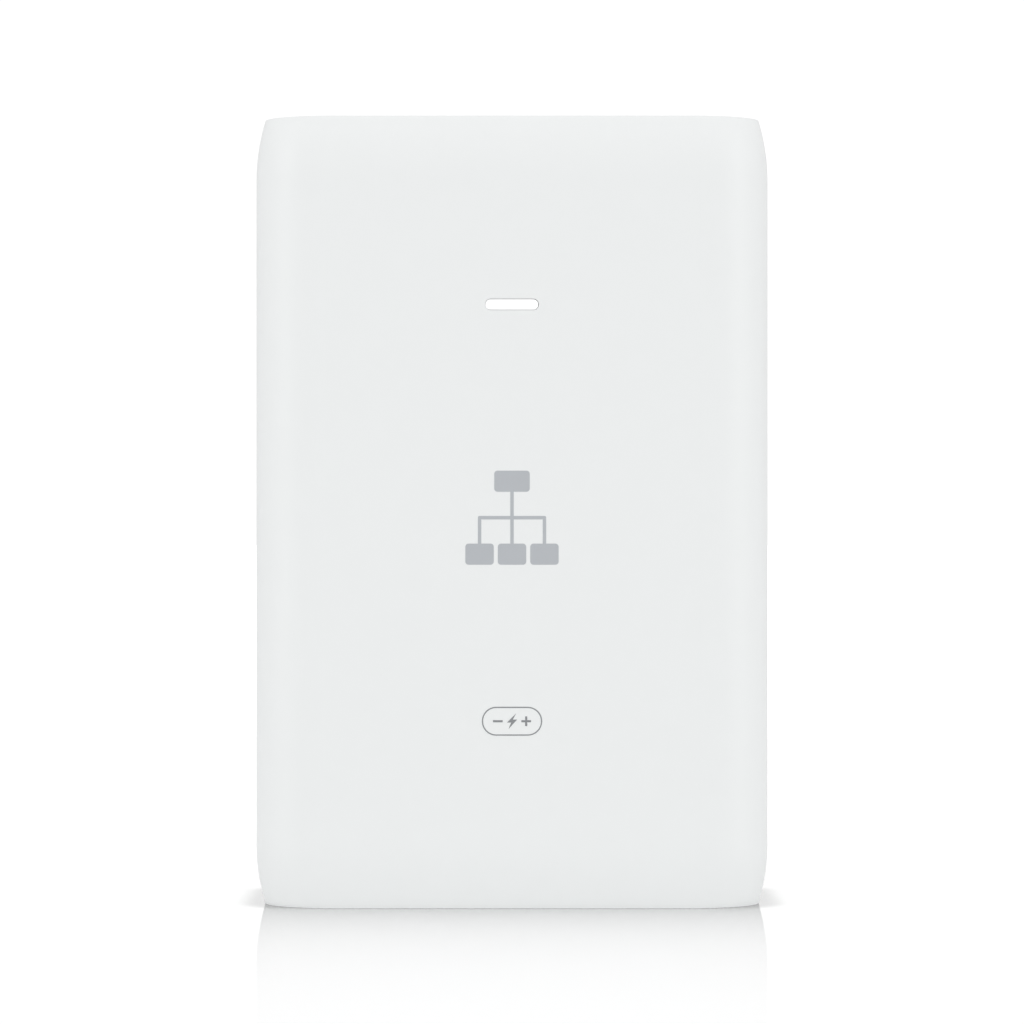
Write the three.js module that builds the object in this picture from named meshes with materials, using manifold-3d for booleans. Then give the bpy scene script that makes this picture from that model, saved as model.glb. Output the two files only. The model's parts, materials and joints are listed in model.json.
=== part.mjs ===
// PoE injector: a mains-powered brick that puts power on a network line.
// Millimetres, +Z up, front face towards -Y. The brick stands on its mains end and has its two
// network sockets on top. The origin is the centre of the footprint, on the surface it stands on.
import * as THREE from "three";
import { mergeVertices } from "three/addons/utils/BufferGeometryUtils.js";
import Module from "manifold-3d";

const wasm = await Module();
wasm.setup();

// ---------------------------------------------------------------- driving dimensions

// Casing
const WIDTH = 64;
const HEIGHT = 98;
const FRONT_Y = -18; // face with the status light
const BACK_Y = 17.4; // back of the casing
const REST_Y = 18; // plane of the rubber feet and of the bracket's wall side
const CORNER_RADIUS = 8.8; // the four long edges
const END_INSET = 1.1; // the sides draw in by this much at each end
const END_LENGTH = 7.6; // over this much of the height
const WALL = 2.2;
const SEAM_Y = 6; // where the front and rear shells meet
const SEAM_GAP = 0.3;
const LIP = { depth: 2, thick: 0.9, ledge: 1.5 }; // the rear shell's lip reaches into the front shell
const FIT_GAP = 0.3; // between a piece and the opening that it sits in
const END_OPENING = 6; // an opening in an end wall is cut this deep
const PAST = 1; // a cut runs this far past the face that it starts from
const ROOT = 0.5; // a joined feature is sunk this far into what it stands on

// Status light, a slot with round ends
const LIGHT = { width: 6.6, height: 1.4, z: 74.6, recess: 0.15, gap: 0.1 };
const LIGHT_FLANGE = { halfWidth: 4.5, halfHigh: 1.7, thick: 1 };
const LIGHT_STEM = { halfWidth: 3, halfHigh: 0.9, ledGap: 2.3 };
const LIGHT_GUIDE = { halfWidth: 6, halfHigh: 2.9, wall: 1.2, depth: 2.8, clear: 0.9 };
const LED = { halfWidth: 1.6, halfHigh: 1.3, depth: 2 };

// Circuit board, with its parts on the front
const BOARD = { front: 8.6, thick: 1.6, halfWidth: 27.5, z0: 3, z1: 94.6, radius: 1.5 };
const BOARD_GAP = 0.1; // between the board and what is soldered to it
const SHEET = { halfWidth: 26, tongue: 16.5, z0: 4.5, shoulder: 13.5, z1: 70, lift: 1.1, thick: 0.25 };

// Casing screws, driven from the back, each under a rubber foot
const SCREW = { x: 21, endMargin: 9, seat: 13.8, shank: 1.2, tipY: -1.5 };
const SCREW_HEAD = { radius: 2.4, high: 1.8, edge: 0.6 };
const BOSS = { radius: 2.7, room: 0.4 };
const PILLAR_RADIUS = 3.2;
const FOOT = { radius: 3.95, seat: 16.8, edge: 0.35, room: 0.15 };

// Network sockets. The latch groove has two steps, each a half width and a depth past the roof.
const JACK = { x: 10, width: 15.9, height: 13.5, depth: 21, sheet: 0.3, recess: 0.4, fit: 0.1 };
const SOCKET = { halfWidth: 5.95, wallY: -1.9, high: 6.9, deep: 14.5, groove: [[3.2, 1.7], [2, 2.8]] };
const MOUTH_EASE = 0.15; // the shield's mouth is this much wider than the socket
const CONTACT = { count: 8, pitch: 1.02, wide: 0.5, thick: 0.35, tip: 0.9, lift: 0.5 };
const CONTACT_ROOT = { y: -1.25, z: -2, radius: 0.55, length: 9 };
const CONTACT_TIP = { y: -4.1, z: -10.6 };
const CONTACT_ROOM = { halfWidth: 4.7, depth: 0.5, floor: 0.5, past: 1.4, start: -1.1 };

// Mains inlet
const INLET = { halfWidth: 13.6, high: 19.8, deep: 21.5, recess: 0.4, radius: 1, lift: 0.2 };
const INLET_POCKET = { halfWidth: 12, halfHigh: 8.25, chamfer: 4.5, deep: 16.9 };
const BLADE = { spread: 7, offset: 2, wide: 4, thick: 2, tipZ: 4, endZ: 24.5, gap: 0.15 };
const BLADE_ENDS = { bevel: 0.5, leg: 0.6 };

// Wall bracket and the channel it slides in
const CHANNEL = { halfWidth: 16, floor: 14.2, lipY: 16, lip: 1.4, top: 66, wall: 2.2 };
const BRACKET = { gap: 0.3, slip: 0.2, z0: 0.3, screwZs: [14, 54], screwRadius: 2.1, sinkRadius: 4.2 };
const BRACKET_SLOTS = { xs: [-8.5, 0, 8.5], halfWidth: 2.4, zs: [23, 45] };
const BRACKET_GRIP = { halfWidth: 7, radius: 5, top: 5.5, depth: 1.2 };

// Rating label on the back, above the bracket
const LABEL = { halfWidth: 15, z0: 70.5, z1: 85.5, radius: 1.5, recess: 0.25 };
const LABEL_ROOM = { around: 0.15, under: 0.05, over: 0.04 };

// Parts on the board. x and z are a part's place, from the middle of the board's width and from the
// standing end; high is how far it stands off the board.
const PARTS = {
  filmCapacitor: { x: -21.8, z: 21.2, halfWide: 4.3, high: 14.8, halfLong: 8.5, radius: 0.8 },
  fuse: { x: 21.5, z: 16.8, radius: 4.2, high: 8.1, lift: 0.5, spread: 2.5 },
  varistor: { x: 21.5, z: 24, radius: 5, thick: 4.2, lift: 1.8 },
  choke: { x: -18.3, z: 39.6, outer: 7, inner: 4.1, high: 7, wrap: 1.2, gap: 0.15, middle: -5.9, split: 1.6 },
  rectifier: { x: 0, z: 29.4, halfWide: 7.5, high: 12, low: 3, halfLong: 1.7, legXs: [-5.7, -1.9, 1.9, 5.7] },
  thermistor: { x: -3.9, z: 36, radius: 4.4, thick: 3.6, lift: 2.2 },
  bulkCapacitor: { x: 18, z: 28, radius: 8, length: 25 },
  primaryHeatsink: { x: 5.8, z: 44, halfLong: 10, high: 19 },
  switchTransistor: { x: 1.2, z: 44, halfLong: 5, low: -5, high: -15.5 },
  transformer: { x: -14.6, z: 60.2 },
  safetyCapacitor: { x: -22.8, z: 73.4, radius: 4, thick: 3.4, lift: 2 },
  optocoupler: { x: -11.8, z: 74, halfWide: 2.4, high: 3.8, halfLong: 2.2, perSide: 2, pitch: 2.54 },
  secondaryHeatsink: { x: -1.4, z: 63, halfLong: 7, high: 15 },
  outputRectifier: { x: 4.9, z: 63, halfLong: 5, low: -4, high: -11 },
  outputChoke: { x: 13.5, z: 59, flange: 4.5, drum: 3.9, high: 9.6, rim: 1.4, lift: 0.2, slope: 0.2 },
  powerController: { x: 22.6, z: 59, halfWide: 2.6, high: 1.1, halfLong: 2.6, perSide: 5, pitch: 0.9 },
  magnetics: { xs: [12.4, 22.4], z: 69.4, halfWide: 3.6, high: 5, halfLong: 5, perSide: 6, pitch: 1.6 },
  outputCapacitor: { x: 23, z: 75.7, radius: 4, length: 10.4 },
};
const CORE = { halfWide: 11, halfDeep: 5.5, halfHigh: 11, plate: 2.8, leg: 3.6, sideLeg: 2.2, split: 0.15 };
const BOBBIN = { tube: 4.7, bore: 3.9, halfWide: 8.4, halfDeep: 7.7, halfHigh: 8, flange: 1, lift: 0.4 };
const WINDING = { radius: 7.5, gap: 0.15 };
const WIRE_RADIUS = 0.4;
const CAN = { edge: 0.5, groove: 0.45, grooveAt: [1.8, 2.4, 3], lid: 0.4, lift: 0.2 };
const FLAT_PACK = { body: 3.4, tabXs: [3, 4.4], tabPast: 3.2, leadXs: [1.6, 2.2], pitch: 2.54, lead: 0.4 };
const SINK = { plate: 1.6, lift: 0.4, fin: 1.2, finHigh: 5, finHalf: 0.6, at: [-0.75, -0.25, 0.25, 0.75] };
const GULL = { reach: 0.9, high: 0.6, halfWide: 0.25, lift: 0.3 };

const MID_Y = (FRONT_Y + BACK_Y) / 2;
const BOARD_BACK = BOARD.front + BOARD.thick;

// ---------------------------------------------------------------- finishes

function finish(color, roughness, metalness = 0) {
  return new THREE.MeshStandardMaterial({ color, roughness, metalness });
}
const FINISH = {
  casing: finish(0xebeded, 0.42),
  lens: finish(0xffffff, 0.25),
  rubber: finish(0xb9bcbe, 0.85),
  label: finish(0xd9dbdc, 0.5),
  blackPlastic: finish(0x1b1c1e, 0.5),
  whiteNylon: finish(0xe2e0d6, 0.6),
  sheetSteel: finish(0xc4c6c8, 0.3, 1),
  zincSteel: finish(0xb4b7ba, 0.35, 1),
  gold: finish(0xd9b25a, 0.25, 1),
  nickel: finish(0xcfcac0, 0.25, 1),
  boardGreen: finish(0x1d5a38, 0.45),
  aluminium: finish(0xb8bbbe, 0.45, 1),
  ferrite: finish(0x3a3b3d, 0.7),
  copper: finish(0xb5692f, 0.35, 1),
  yellowTape: finish(0xe3c02f, 0.5),
  blueEpoxy: finish(0x2b63b0, 0.45),
  greenEpoxy: finish(0x2d6b46, 0.5),
  yellowBox: finish(0xc9b33a, 0.5),
  capSleeve: finish(0x23272f, 0.35),
  film: finish(0xd8d9cf, 0.4),
};

// ---------------------------------------------------------------- solids

// A closed three.js geometry as a manifold solid.
function solid(geometry) {
  const bare = geometry.clone();
  bare.deleteAttribute("normal");
  bare.deleteAttribute("uv");
  const merged = mergeVertices(bare, 1e-4);
  const vertProperties = merged.attributes.position.array;
  const triVerts = new Uint32Array(merged.index.array);
  return new wasm.Manifold(new wasm.Mesh({ numProp: 3, vertProperties, triVerts }));
}

// A manifold solid as a three.js geometry.
function geometryOf(made) {
  const { numProp, numVert, vertProperties, triVerts } = made.getMesh();
  const points = new Float32Array(numVert * 3);
  for (let i = 0; i < numVert; i++) points.set(vertProperties.subarray(i * numProp, i * numProp + 3), i * 3);
  const geometry = new THREE.BufferGeometry();
  geometry.setAttribute("position", new THREE.BufferAttribute(points, 3));
  geometry.setIndex(new THREE.BufferAttribute(new Uint32Array(triVerts), 1));
  geometry.computeVertexNormals();
  return geometry;
}

const joined = (first, ...rest) => rest.reduce((sum, next) => sum.add(next), first);
const cut = (body, ...tools) => tools.reduce((left, tool) => left.subtract(tool), body);

function block([x0, x1], [y0, y1], [z0, z1]) {
  const box = new THREE.BoxGeometry(x1 - x0, y1 - y0, z1 - z0);
  return solid(box.translate((x0 + x1) / 2, (y0 + y1) / 2, (z0 + z1) / 2));
}

// A round rod along Y.
function rodY(radius, [y0, y1], x = 0, z = 0, sides = 20) {
  const cylinder = new THREE.CylinderGeometry(radius, radius, y1 - y0, sides);
  return solid(cylinder.translate(x, (y0 + y1) / 2, z));
}

// A round rod about the Z axis.
function rodZ(radius, [z0, z1], sides = 20) {
  const cylinder = new THREE.CylinderGeometry(radius, radius, z1 - z0, sides);
  return solid(cylinder.rotateX(Math.PI / 2).translate(0, 0, (z0 + z1) / 2));
}

// An outline drawn in X and Z, given thickness along Y.
function slab(outline, [y0, y1], curveSegments = 6) {
  const settings = { depth: y1 - y0, bevelEnabled: false, curveSegments };
  return solid(new THREE.ExtrudeGeometry(outline, settings).rotateX(Math.PI / 2).translate(0, y1, 0));
}

// An outline drawn in X and Y, given height along Z.
function column(outline, [z0, z1], curveSegments = 7) {
  const settings = { depth: z1 - z0, bevelEnabled: false, curveSegments };
  return solid(new THREE.ExtrudeGeometry(outline, settings).translate(0, 0, z0));
}

// A profile of [radius, y] points turned about Y.
function turned(profile, sides = 20) {
  return solid(new THREE.LatheGeometry(profile.map(([r, y]) => new THREE.Vector2(r, y)), sides));
}

function roundedRectangle([x0, x1], [y0, y1], radius) {
  const shape = new THREE.Shape();
  const quarter = Math.PI / 2;
  shape.moveTo(x0 + radius, y0);
  shape.absarc(x1 - radius, y0 + radius, radius, -quarter, 0);
  shape.absarc(x1 - radius, y1 - radius, radius, 0, quarter);
  shape.absarc(x0 + radius, y1 - radius, radius, quarter, 2 * quarter);
  shape.absarc(x0 + radius, y0 + radius, radius, 2 * quarter, 3 * quarter);
  shape.closePath();
  return shape;
}

function polygon(points) {
  return new THREE.Shape(points.map(([x, y]) => new THREE.Vector2(x, y)));
}

const around = (centre, half) => [centre - half, centre + half];
const bothSides = [-1, 1];

// ---------------------------------------------------------------- assembly

const injector = new THREE.Group();

function piece(name, shape, finishName, place = [0, 0, 0], parent = injector) {
  const mesh = new THREE.Mesh(geometryOf(shape), FINISH[finishName]);
  mesh.name = name;
  mesh.position.set(...place);
  parent.add(mesh);
}

// A part on the board: its own origin is on the board's front, and -Y leads away from the board.
const onBoard = (name, shape, finishName, { x, z }) => piece(name, shape, finishName, [x, BOARD.front, z]);

// ---------------------------------------------------------------- casing

// How far the sides have drawn in at height z.
function drawnIn(z) {
  const nearEnd = Math.max(0, 1 - Math.min(z, HEIGHT - z) / END_LENGTH);
  return END_INSET * nearEnd ** 2;
}

// The casing's outside: a rounded rectangle whose sides draw in towards both ends.
function outside() {
  const steps = 5;
  const lower = Array.from({ length: steps + 1 }, (_, i) => (END_LENGTH * i) / steps);
  const levels = [...lower, ...lower.map((z) => HEIGHT - z).reverse()];
  const outline = roundedRectangle([-WIDTH / 2, WIDTH / 2], [FRONT_Y, BACK_Y], CORNER_RADIUS);
  const count = levels.length - 1;
  const settings = { depth: count, steps: count, bevelEnabled: false, curveSegments: 7 };
  const geometry = new THREE.ExtrudeGeometry(outline, settings);
  const points = geometry.attributes.position;
  for (let i = 0; i < points.count; i++) {
    const z = levels[Math.round(points.getZ(i))];
    const shareX = 1 - drawnIn(z) / (WIDTH / 2);
    const shareY = 1 - drawnIn(z) / (BACK_Y - MID_Y);
    points.setXYZ(i, points.getX(i) * shareX, MID_Y + (points.getY(i) - MID_Y) * shareY, z);
  }
  return solid(geometry);
}

function cavity() {
  const sides = around(0, WIDTH / 2 - WALL);
  const outline = roundedRectangle(sides, [FRONT_Y + WALL, BACK_Y - WALL], CORNER_RADIUS - WALL);
  return column(outline, [WALL, HEIGHT - WALL], 5);
}

// A rectangular ring that follows the seam, between two distances in from the casing's sides.
function seamRing(outer, inner, [y0, y1]) {
  const rectangle = (inset, ys) => block(around(0, WIDTH / 2 - inset), ys, [inset, HEIGHT - inset]);
  return cut(rectangle(outer, [y0, y1]), rectangle(inner, [y0 - PAST, y1 + PAST]));
}

// Openings in the end walls for the two sockets and the inlet.
function endOpenings() {
  const half = JACK.width / 2 + FIT_GAP;
  const jackYs = [BOARD.front - JACK.height - FIT_GAP, BOARD.front + FIT_GAP];
  const topZs = [HEIGHT - END_OPENING, HEIGHT + PAST];
  const jacks = bothSides.map((side) => block(around(side * JACK.x, half), jackYs, topZs));
  const inletYs = [BOARD.front - INLET.high - 2 * FIT_GAP, BOARD.front + FIT_GAP];
  return [...jacks, block(around(0, INLET.halfWidth + FIT_GAP), inletYs, [-PAST, END_OPENING])];
}

const screwHeights = [SCREW.endMargin, HEIGHT - SCREW.endMargin];
const screwPlaces = bothSides.flatMap((side) => screwHeights.map((z) => [side * SCREW.x, z]));

function lightSlot(grow, ys) {
  const high = LIGHT.height / 2 + grow;
  const outline = roundedRectangle(around(0, LIGHT.width / 2 + grow), around(LIGHT.z, high), high - 0.01);
  return slab(outline, ys);
}

function frontShell() {
  const inner = FRONT_Y + WALL;
  const half = block([-WIDTH, WIDTH], [FRONT_Y - PAST, SEAM_Y - SEAM_GAP / 2], [-PAST, HEIGHT + PAST]);
  const { halfWidth, halfHigh, wall, depth, clear } = LIGHT_GUIDE;
  const guide = cut(
    block(around(0, halfWidth), [inner - ROOT, inner + depth], around(LIGHT.z, halfHigh)),
    block(around(0, halfWidth - wall), [inner, inner + depth + PAST], around(LIGHT.z, halfHigh - clear)),
  );
  const bossYs = [inner - ROOT, BOARD.front - BOARD_GAP];
  const pilotYs = [SCREW.tipY - 2 * PAST, BOARD.front + PAST];
  const bosses = screwPlaces.map(([x, z]) => rodY(BOSS.radius, bossYs, x, z, 16));
  const pilots = screwPlaces.map(([x, z]) => rodY(SCREW.shank + 0.2, pilotYs, x, z, 12));
  const shell = joined(cut(outside().intersect(half), cavity()), guide, ...bosses);
  return cut(shell, ...pilots, lightSlot(0, [FRONT_Y - PAST, inner + PAST]), ...endOpenings());
}

// The T-shaped channel that the wall bracket slides up into.
function bracketChannel() {
  const { halfWidth, floor, lipY, lip, top } = CHANNEL;
  return joined(
    block(around(0, halfWidth), [floor, lipY], [-PAST, top]),
    block(around(0, halfWidth - lip), [floor, REST_Y + PAST], [-PAST, top]),
  );
}

function rearShell() {
  const seam = SEAM_Y + SEAM_GAP / 2;
  const back = BACK_Y - WALL;
  const half = block([-WIDTH, WIDTH], [seam, REST_Y + PAST], [-PAST, HEIGHT + PAST]);
  const wallYs = [CHANNEL.floor - CHANNEL.wall, back + ROOT];
  const wallZs = [PAST, CHANNEL.top + CHANNEL.wall];
  const channelWall = block(around(0, CHANNEL.halfWidth + CHANNEL.wall), wallYs, wallZs);
  const lipOuter = WALL + FIT_GAP;
  const lipInner = lipOuter + LIP.thick;
  const lip = seamRing(lipOuter, lipInner, [SEAM_Y - LIP.depth, seam + LIP.ledge]);
  const ledge = seamRing(WALL - ROOT / 2, lipInner, [seam, seam + LIP.ledge]);
  const pillarYs = [BOARD_BACK + FIT_GAP / 2, back + ROOT];
  const pillars = screwPlaces.map(([x, z]) => rodY(PILLAR_RADIUS, pillarYs, x, z, 16));
  const shell = joined(cut(outside().intersect(half), cavity()), channelWall, lip, ledge, ...pillars);
  const openings = screwPlaces.flatMap(([x, z]) => [
    rodY(SCREW.shank + FIT_GAP, [BOARD_BACK - PAST, BACK_Y], x, z, 12),
    rodY(SCREW_HEAD.radius + FIT_GAP, [SCREW.seat, REST_Y + PAST], x, z, 16),
    rodY(FOOT.radius + FOOT.room, [FOOT.seat, REST_Y + PAST], x, z, 24),
    rodY(BOSS.radius + BOSS.room, [SEAM_Y - LIP.depth - PAST, BOARD_BACK], x, z, 16),
  ]);
  const { halfWidth, z0, z1, radius, recess } = LABEL;
  const gap = LABEL_ROOM.around;
  const seatOutline = roundedRectangle(around(0, halfWidth + gap), [z0 - gap, z1 + gap], radius);
  const labelSeat = slab(seatOutline, [BACK_Y - recess, REST_Y + PAST]);
  return cut(shell, bracketChannel(), ...openings, labelSeat, ...endOpenings());
}

function lightPipe() {
  const { halfWidth, halfHigh, thick } = LIGHT_FLANGE;
  const flangeY = FRONT_Y + WALL + 0.2;
  const tip = lightSlot(-LIGHT.gap, [FRONT_Y + LIGHT.recess, flangeY + 0.3]);
  const flange = block(around(0, halfWidth), [flangeY, flangeY + thick], around(LIGHT.z, halfHigh));
  const stemYs = [flangeY + thick - 0.2, BOARD.front - LIGHT_STEM.ledGap];
  const stem = block(around(0, LIGHT_STEM.halfWidth), stemYs, around(LIGHT.z, LIGHT_STEM.halfHigh));
  return joined(tip, flange, stem);
}

function casingScrew() {
  const { shank, tipY } = SCREW;
  const { radius, high, edge } = SCREW_HEAD;
  const seat = SCREW.seat + 0.1;
  const top = SCREW.seat + high;
  const profile = [
    [0, tipY],
    [shank, tipY + 2],
    [shank, seat],
    [radius, seat],
    [radius, top - edge],
    [radius - edge, top],
    [0, top],
  ];
  return turned(profile, 16);
}

function rubberFoot() {
  const { radius, edge } = FOOT;
  const seat = FOOT.seat + 0.1;
  const profile = [[0, seat], [radius, seat], [radius, REST_Y - edge], [radius - edge, REST_Y], [0, REST_Y]];
  return turned(profile, 24);
}

function ratingLabel() {
  const { halfWidth, z0, z1, radius, recess } = LABEL;
  const outline = roundedRectangle(around(0, halfWidth), [z0, z1], radius);
  return slab(outline, [BACK_Y - recess + LABEL_ROOM.under, BACK_Y - LABEL_ROOM.over]);
}

piece("front_shell", frontShell(), "casing");
piece("rear_shell", rearShell(), "casing");
piece("light_pipe", lightPipe(), "lens");
piece("rating_label", ratingLabel(), "label");
for (const [x, z] of screwPlaces) {
  const corner = `${z < HEIGHT / 2 ? "lower" : "upper"}_${x < 0 ? "left" : "right"}`;
  piece(`screw_${corner}`, casingScrew(), "zincSteel", [x, 0, z]);
  piece(`foot_${corner}`, rubberFoot(), "rubber", [x, 0, z]);
}

// ---------------------------------------------------------------- wall bracket

// A plate with side flanges under the channel's lips, two countersunk holes and three slots.
function wallBracket() {
  const { gap, slip, z0, screwZs, screwRadius, sinkRadius } = BRACKET;
  const zs = [z0, CHANNEL.top - gap];
  const inner = CHANNEL.floor + slip;
  const through = [inner - PAST, REST_Y + PAST];
  const flange = block(around(0, CHANNEL.halfWidth - gap), [inner, CHANNEL.lipY - slip], zs);
  const pad = block(around(0, CHANNEL.halfWidth - CHANNEL.lip - gap), [inner, REST_Y], zs);
  const sinkDeep = sinkRadius - screwRadius;
  const sink = new THREE.CylinderGeometry(screwRadius, sinkRadius, sinkDeep, 24);
  const holes = screwZs.flatMap((z) => [
    rodY(screwRadius, through, 0, z, 24),
    solid(sink.clone().translate(0, inner + sinkDeep / 2 - 0.01, z)),
  ]);
  const { halfWidth } = BRACKET_SLOTS;
  const slots = BRACKET_SLOTS.xs.map((x) =>
    slab(roundedRectangle(around(x, halfWidth), BRACKET_SLOTS.zs, halfWidth - 0.01), through, 5),
  );
  const { radius, top, depth } = BRACKET_GRIP;
  const gripOutline = roundedRectangle(around(0, BRACKET_GRIP.halfWidth), [-radius - top, top], radius);
  return cut(flange.add(pad), ...holes, ...slots, slab(gripOutline, [REST_Y - depth, REST_Y + PAST]));
}

piece("wall_bracket", wallBracket(), "casing");

// ---------------------------------------------------------------- circuit board

function mainBoard() {
  const { halfWidth, z0, z1, front, radius } = BOARD;
  const sheet = slab(roundedRectangle(around(0, halfWidth), [z0, z1], radius), [front, BOARD_BACK], 3);
  const holeYs = [front - PAST, BOARD_BACK + PAST];
  return cut(sheet, ...screwPlaces.map(([x, z]) => rodY(SCREW.shank + 0.5, holeYs, x, z, 16)));
}

function insulationSheet() {
  const { halfWidth, tongue, z0, shoulder, z1, lift, thick } = SHEET;
  const right = [[tongue, z0], [tongue, shoulder], [halfWidth, shoulder], [halfWidth, z1]];
  const left = right.map(([x, z]) => [-x, z]).reverse();
  return slab(polygon([...right, ...left]), [BOARD_BACK + lift, BOARD_BACK + lift + thick]);
}

piece("main_board", mainBoard(), "boardGreen");
piece("insulation_sheet", insulationSheet(), "film");
const ledBody = block(around(0, LED.halfWidth), [-LED.depth, -BOARD_GAP], around(0, LED.halfHigh));
onBoard("status_led", ledBody, "whiteNylon", { x: 0, z: LIGHT.z });

// ---------------------------------------------------------------- network sockets

// Socket parts share one frame: Z 0 is the mouth, -Z leads in, and Y 0 is the board.

// The steps of the latch groove, on the front side, each widened by ease.
function latchGroove(ease, zs) {
  const roof = SOCKET.wallY - SOCKET.high;
  return SOCKET.groove.map(([half, past]) => {
    return block(around(0, half + ease), [roof - past - ease, roof + ROOT], zs);
  });
}

// The contacts are on the board's side.
function jackHousing() {
  const { halfWidth, wallY, high, deep } = SOCKET;
  const inset = JACK.sheet + JACK.fit;
  const bodyZs = [inset - JACK.depth, -inset];
  const body = block(around(0, JACK.width / 2 - inset), [inset - JACK.height, -2 * JACK.fit], bodyZs);
  const socket = block(around(0, halfWidth), [wallY - high, wallY], [-deep, PAST]);
  const room = CONTACT_ROOM;
  const roomZs = [CONTACT_TIP.z - room.past, room.start];
  const contactRoom = block(around(0, room.halfWidth), [wallY - room.depth, -room.floor], roomZs);
  return cut(body, socket, ...latchGroove(0, [-deep, PAST]), contactRoom);
}

// Folded sheet steel, open towards the board, with the socket's mouth in its face.
function jackShield() {
  const { width, height, depth, sheet, fit } = JACK;
  const { halfWidth, wallY, high } = SOCKET;
  const mouthZs = [-PAST, PAST];
  const mouthYs = [wallY - high - MOUTH_EASE, wallY + MOUTH_EASE];
  return cut(
    block(around(0, width / 2), [-height, -fit], [-depth, 0]),
    block(around(0, width / 2 - sheet), [sheet - height, PAST], [sheet - depth, -sheet]),
    block(around(0, halfWidth + MOUTH_EASE), mouthYs, mouthZs),
    ...latchGroove(MOUTH_EASE, mouthZs),
  );
}

// Spring wires on one bar. The bar is the wires' root, near the mouth.
function jackContacts() {
  const { count, pitch, wide, thick, tip, lift } = CONTACT;
  const half = thick / 2;
  const start = CONTACT_ROOT;
  const end = CONTACT_TIP;
  const profile = polygon([
    [start.z, start.y - half],
    [start.z, start.y + half],
    [end.z, end.y + half],
    [end.z - tip, end.y + half + lift],
    [end.z - tip, end.y - half + lift],
    [end.z, end.y - half],
  ]);
  const wire = new THREE.ExtrudeGeometry(profile, { depth: wide, bevelEnabled: false });
  wire.rotateY(-Math.PI / 2);
  const wires = Array.from({ length: count }, (_, i) => {
    const x = (i - (count - 1) / 2) * pitch + wide / 2;
    return solid(wire.clone().translate(x, 0, 0));
  });
  const bar = new THREE.CylinderGeometry(start.radius, start.radius, start.length, 8);
  return joined(solid(bar.rotateZ(Math.PI / 2).translate(0, start.y, start.z)), ...wires);
}

for (const [name, side] of [["data", -1], ["power", 1]]) {
  const jack = new THREE.Group();
  jack.position.set(side * JACK.x, BOARD.front, HEIGHT - JACK.recess);
  injector.add(jack);
  const here = [0, 0, 0];
  piece(`${name}_jack_housing`, jackHousing(), "blackPlastic", here, jack);
  piece(`${name}_jack_shield`, jackShield(), "sheetSteel", here, jack);
  piece(`${name}_jack_contacts`, jackContacts(), "gold", here, jack);
}

// ---------------------------------------------------------------- mains inlet

// Inlet parts share one frame: the origin is the middle of the mouth, and Z leads in.
const inlet = new THREE.Group();
inlet.position.set(0, BOARD.front - INLET.lift - INLET.high / 2, 0);
injector.add(inlet);

// Centres of the line, neutral and earth blades. Earth is nearer the front.
const BLADE_PLACES = {
  line: [-BLADE.spread, BLADE.offset],
  neutral: [BLADE.spread, BLADE.offset],
  earth: [0, -BLADE.offset],
};

function inletHousing() {
  const { halfWidth: wide, halfHigh: high, chamfer, deep } = INLET_POCKET;
  const right = [[wide, high], [wide, chamfer - high], [wide - chamfer, -high]];
  const left = right.map(([x, y]) => [-x, y]).reverse();
  const outline = roundedRectangle(around(0, INLET.halfWidth), around(0, INLET.high / 2), INLET.radius);
  const halfSlot = [BLADE.thick / 2 + BLADE.gap, BLADE.wide / 2 + BLADE.gap];
  const slotZs = [deep - PAST, INLET.deep + PAST];
  const slots = Object.values(BLADE_PLACES).map(([x, y]) =>
    block(around(x, halfSlot[0]), around(y, halfSlot[1]), slotZs),
  );
  const body = column(outline, [INLET.recess, INLET.deep], 3);
  return cut(body, column(polygon([...right, ...left]), [-PAST, deep]), ...slots);
}

// A flat blade with a bevelled tip, and a leg at its far end down to the board.
function inletBlade(y) {
  const { wide, thick, tipZ, endZ } = BLADE;
  const { bevel, leg } = BLADE_ENDS;
  const half = thick / 2;
  const right = [[half - bevel, tipZ], [half, tipZ + 2 * bevel], [half, endZ]];
  const left = right.map(([x, z]) => [-x, z]).reverse();
  const legBlock = block(around(0, leg), [0, INLET.high / 2 - y], [endZ - 2, endZ]);
  return slab(polygon([...right, ...left]), around(0, wide / 2)).add(legBlock);
}

piece("inlet_housing", inletHousing(), "blackPlastic", [0, 0, 0], inlet);
for (const [name, [x, y]] of Object.entries(BLADE_PLACES)) {
  piece(`inlet_blade_${name}`, inletBlade(y), "nickel", [x, y, 0], inlet);
}

// ---------------------------------------------------------------- mains side of the board

// Two round wires from y to the board, one on each side of the part's middle.
function legs(spread, y) {
  return bothSides.map((side) => rodY(WIRE_RADIUS, [y, -BOARD_GAP], side * spread, 0, 8));
}

// A capacitor can lying along Z just off the board, with the groove near its lead end.
function lyingCan({ radius, length }) {
  const { edge, groove, grooveAt, lid, lift } = CAN;
  const profile = [
    [0, 0],
    [radius - edge, 0],
    [radius, edge],
    [radius, grooveAt[0]],
    [radius - groove, grooveAt[1]],
    [radius, grooveAt[2]],
    [radius, length - lid],
    [radius - lid, length],
    [0, length],
  ];
  return turned(profile).rotate([90, 0, 0]).translate(0, -radius - lift, 0);
}

// A coated disc standing on two wires, its flat sides facing along Z.
function standingDisc({ radius, thick, lift }) {
  const middle = -lift - radius;
  const rim = radius - thick / 4;
  const half = thick / 2;
  const disc = turned([[0, -half], [rim, -half], [radius, 0], [rim, half], [0, half]]);
  return joined(disc.rotate([90, 0, 0]).translate(0, middle, 0), ...legs(radius / 2, middle));
}

// A box with rounded edges, standing just off the board.
function coatedBox({ halfWide, high, halfLong, radius }) {
  return slab(roundedRectangle(around(0, halfWide), around(0, halfLong), radius), [-high, -GULL.lift], 3);
}

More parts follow.
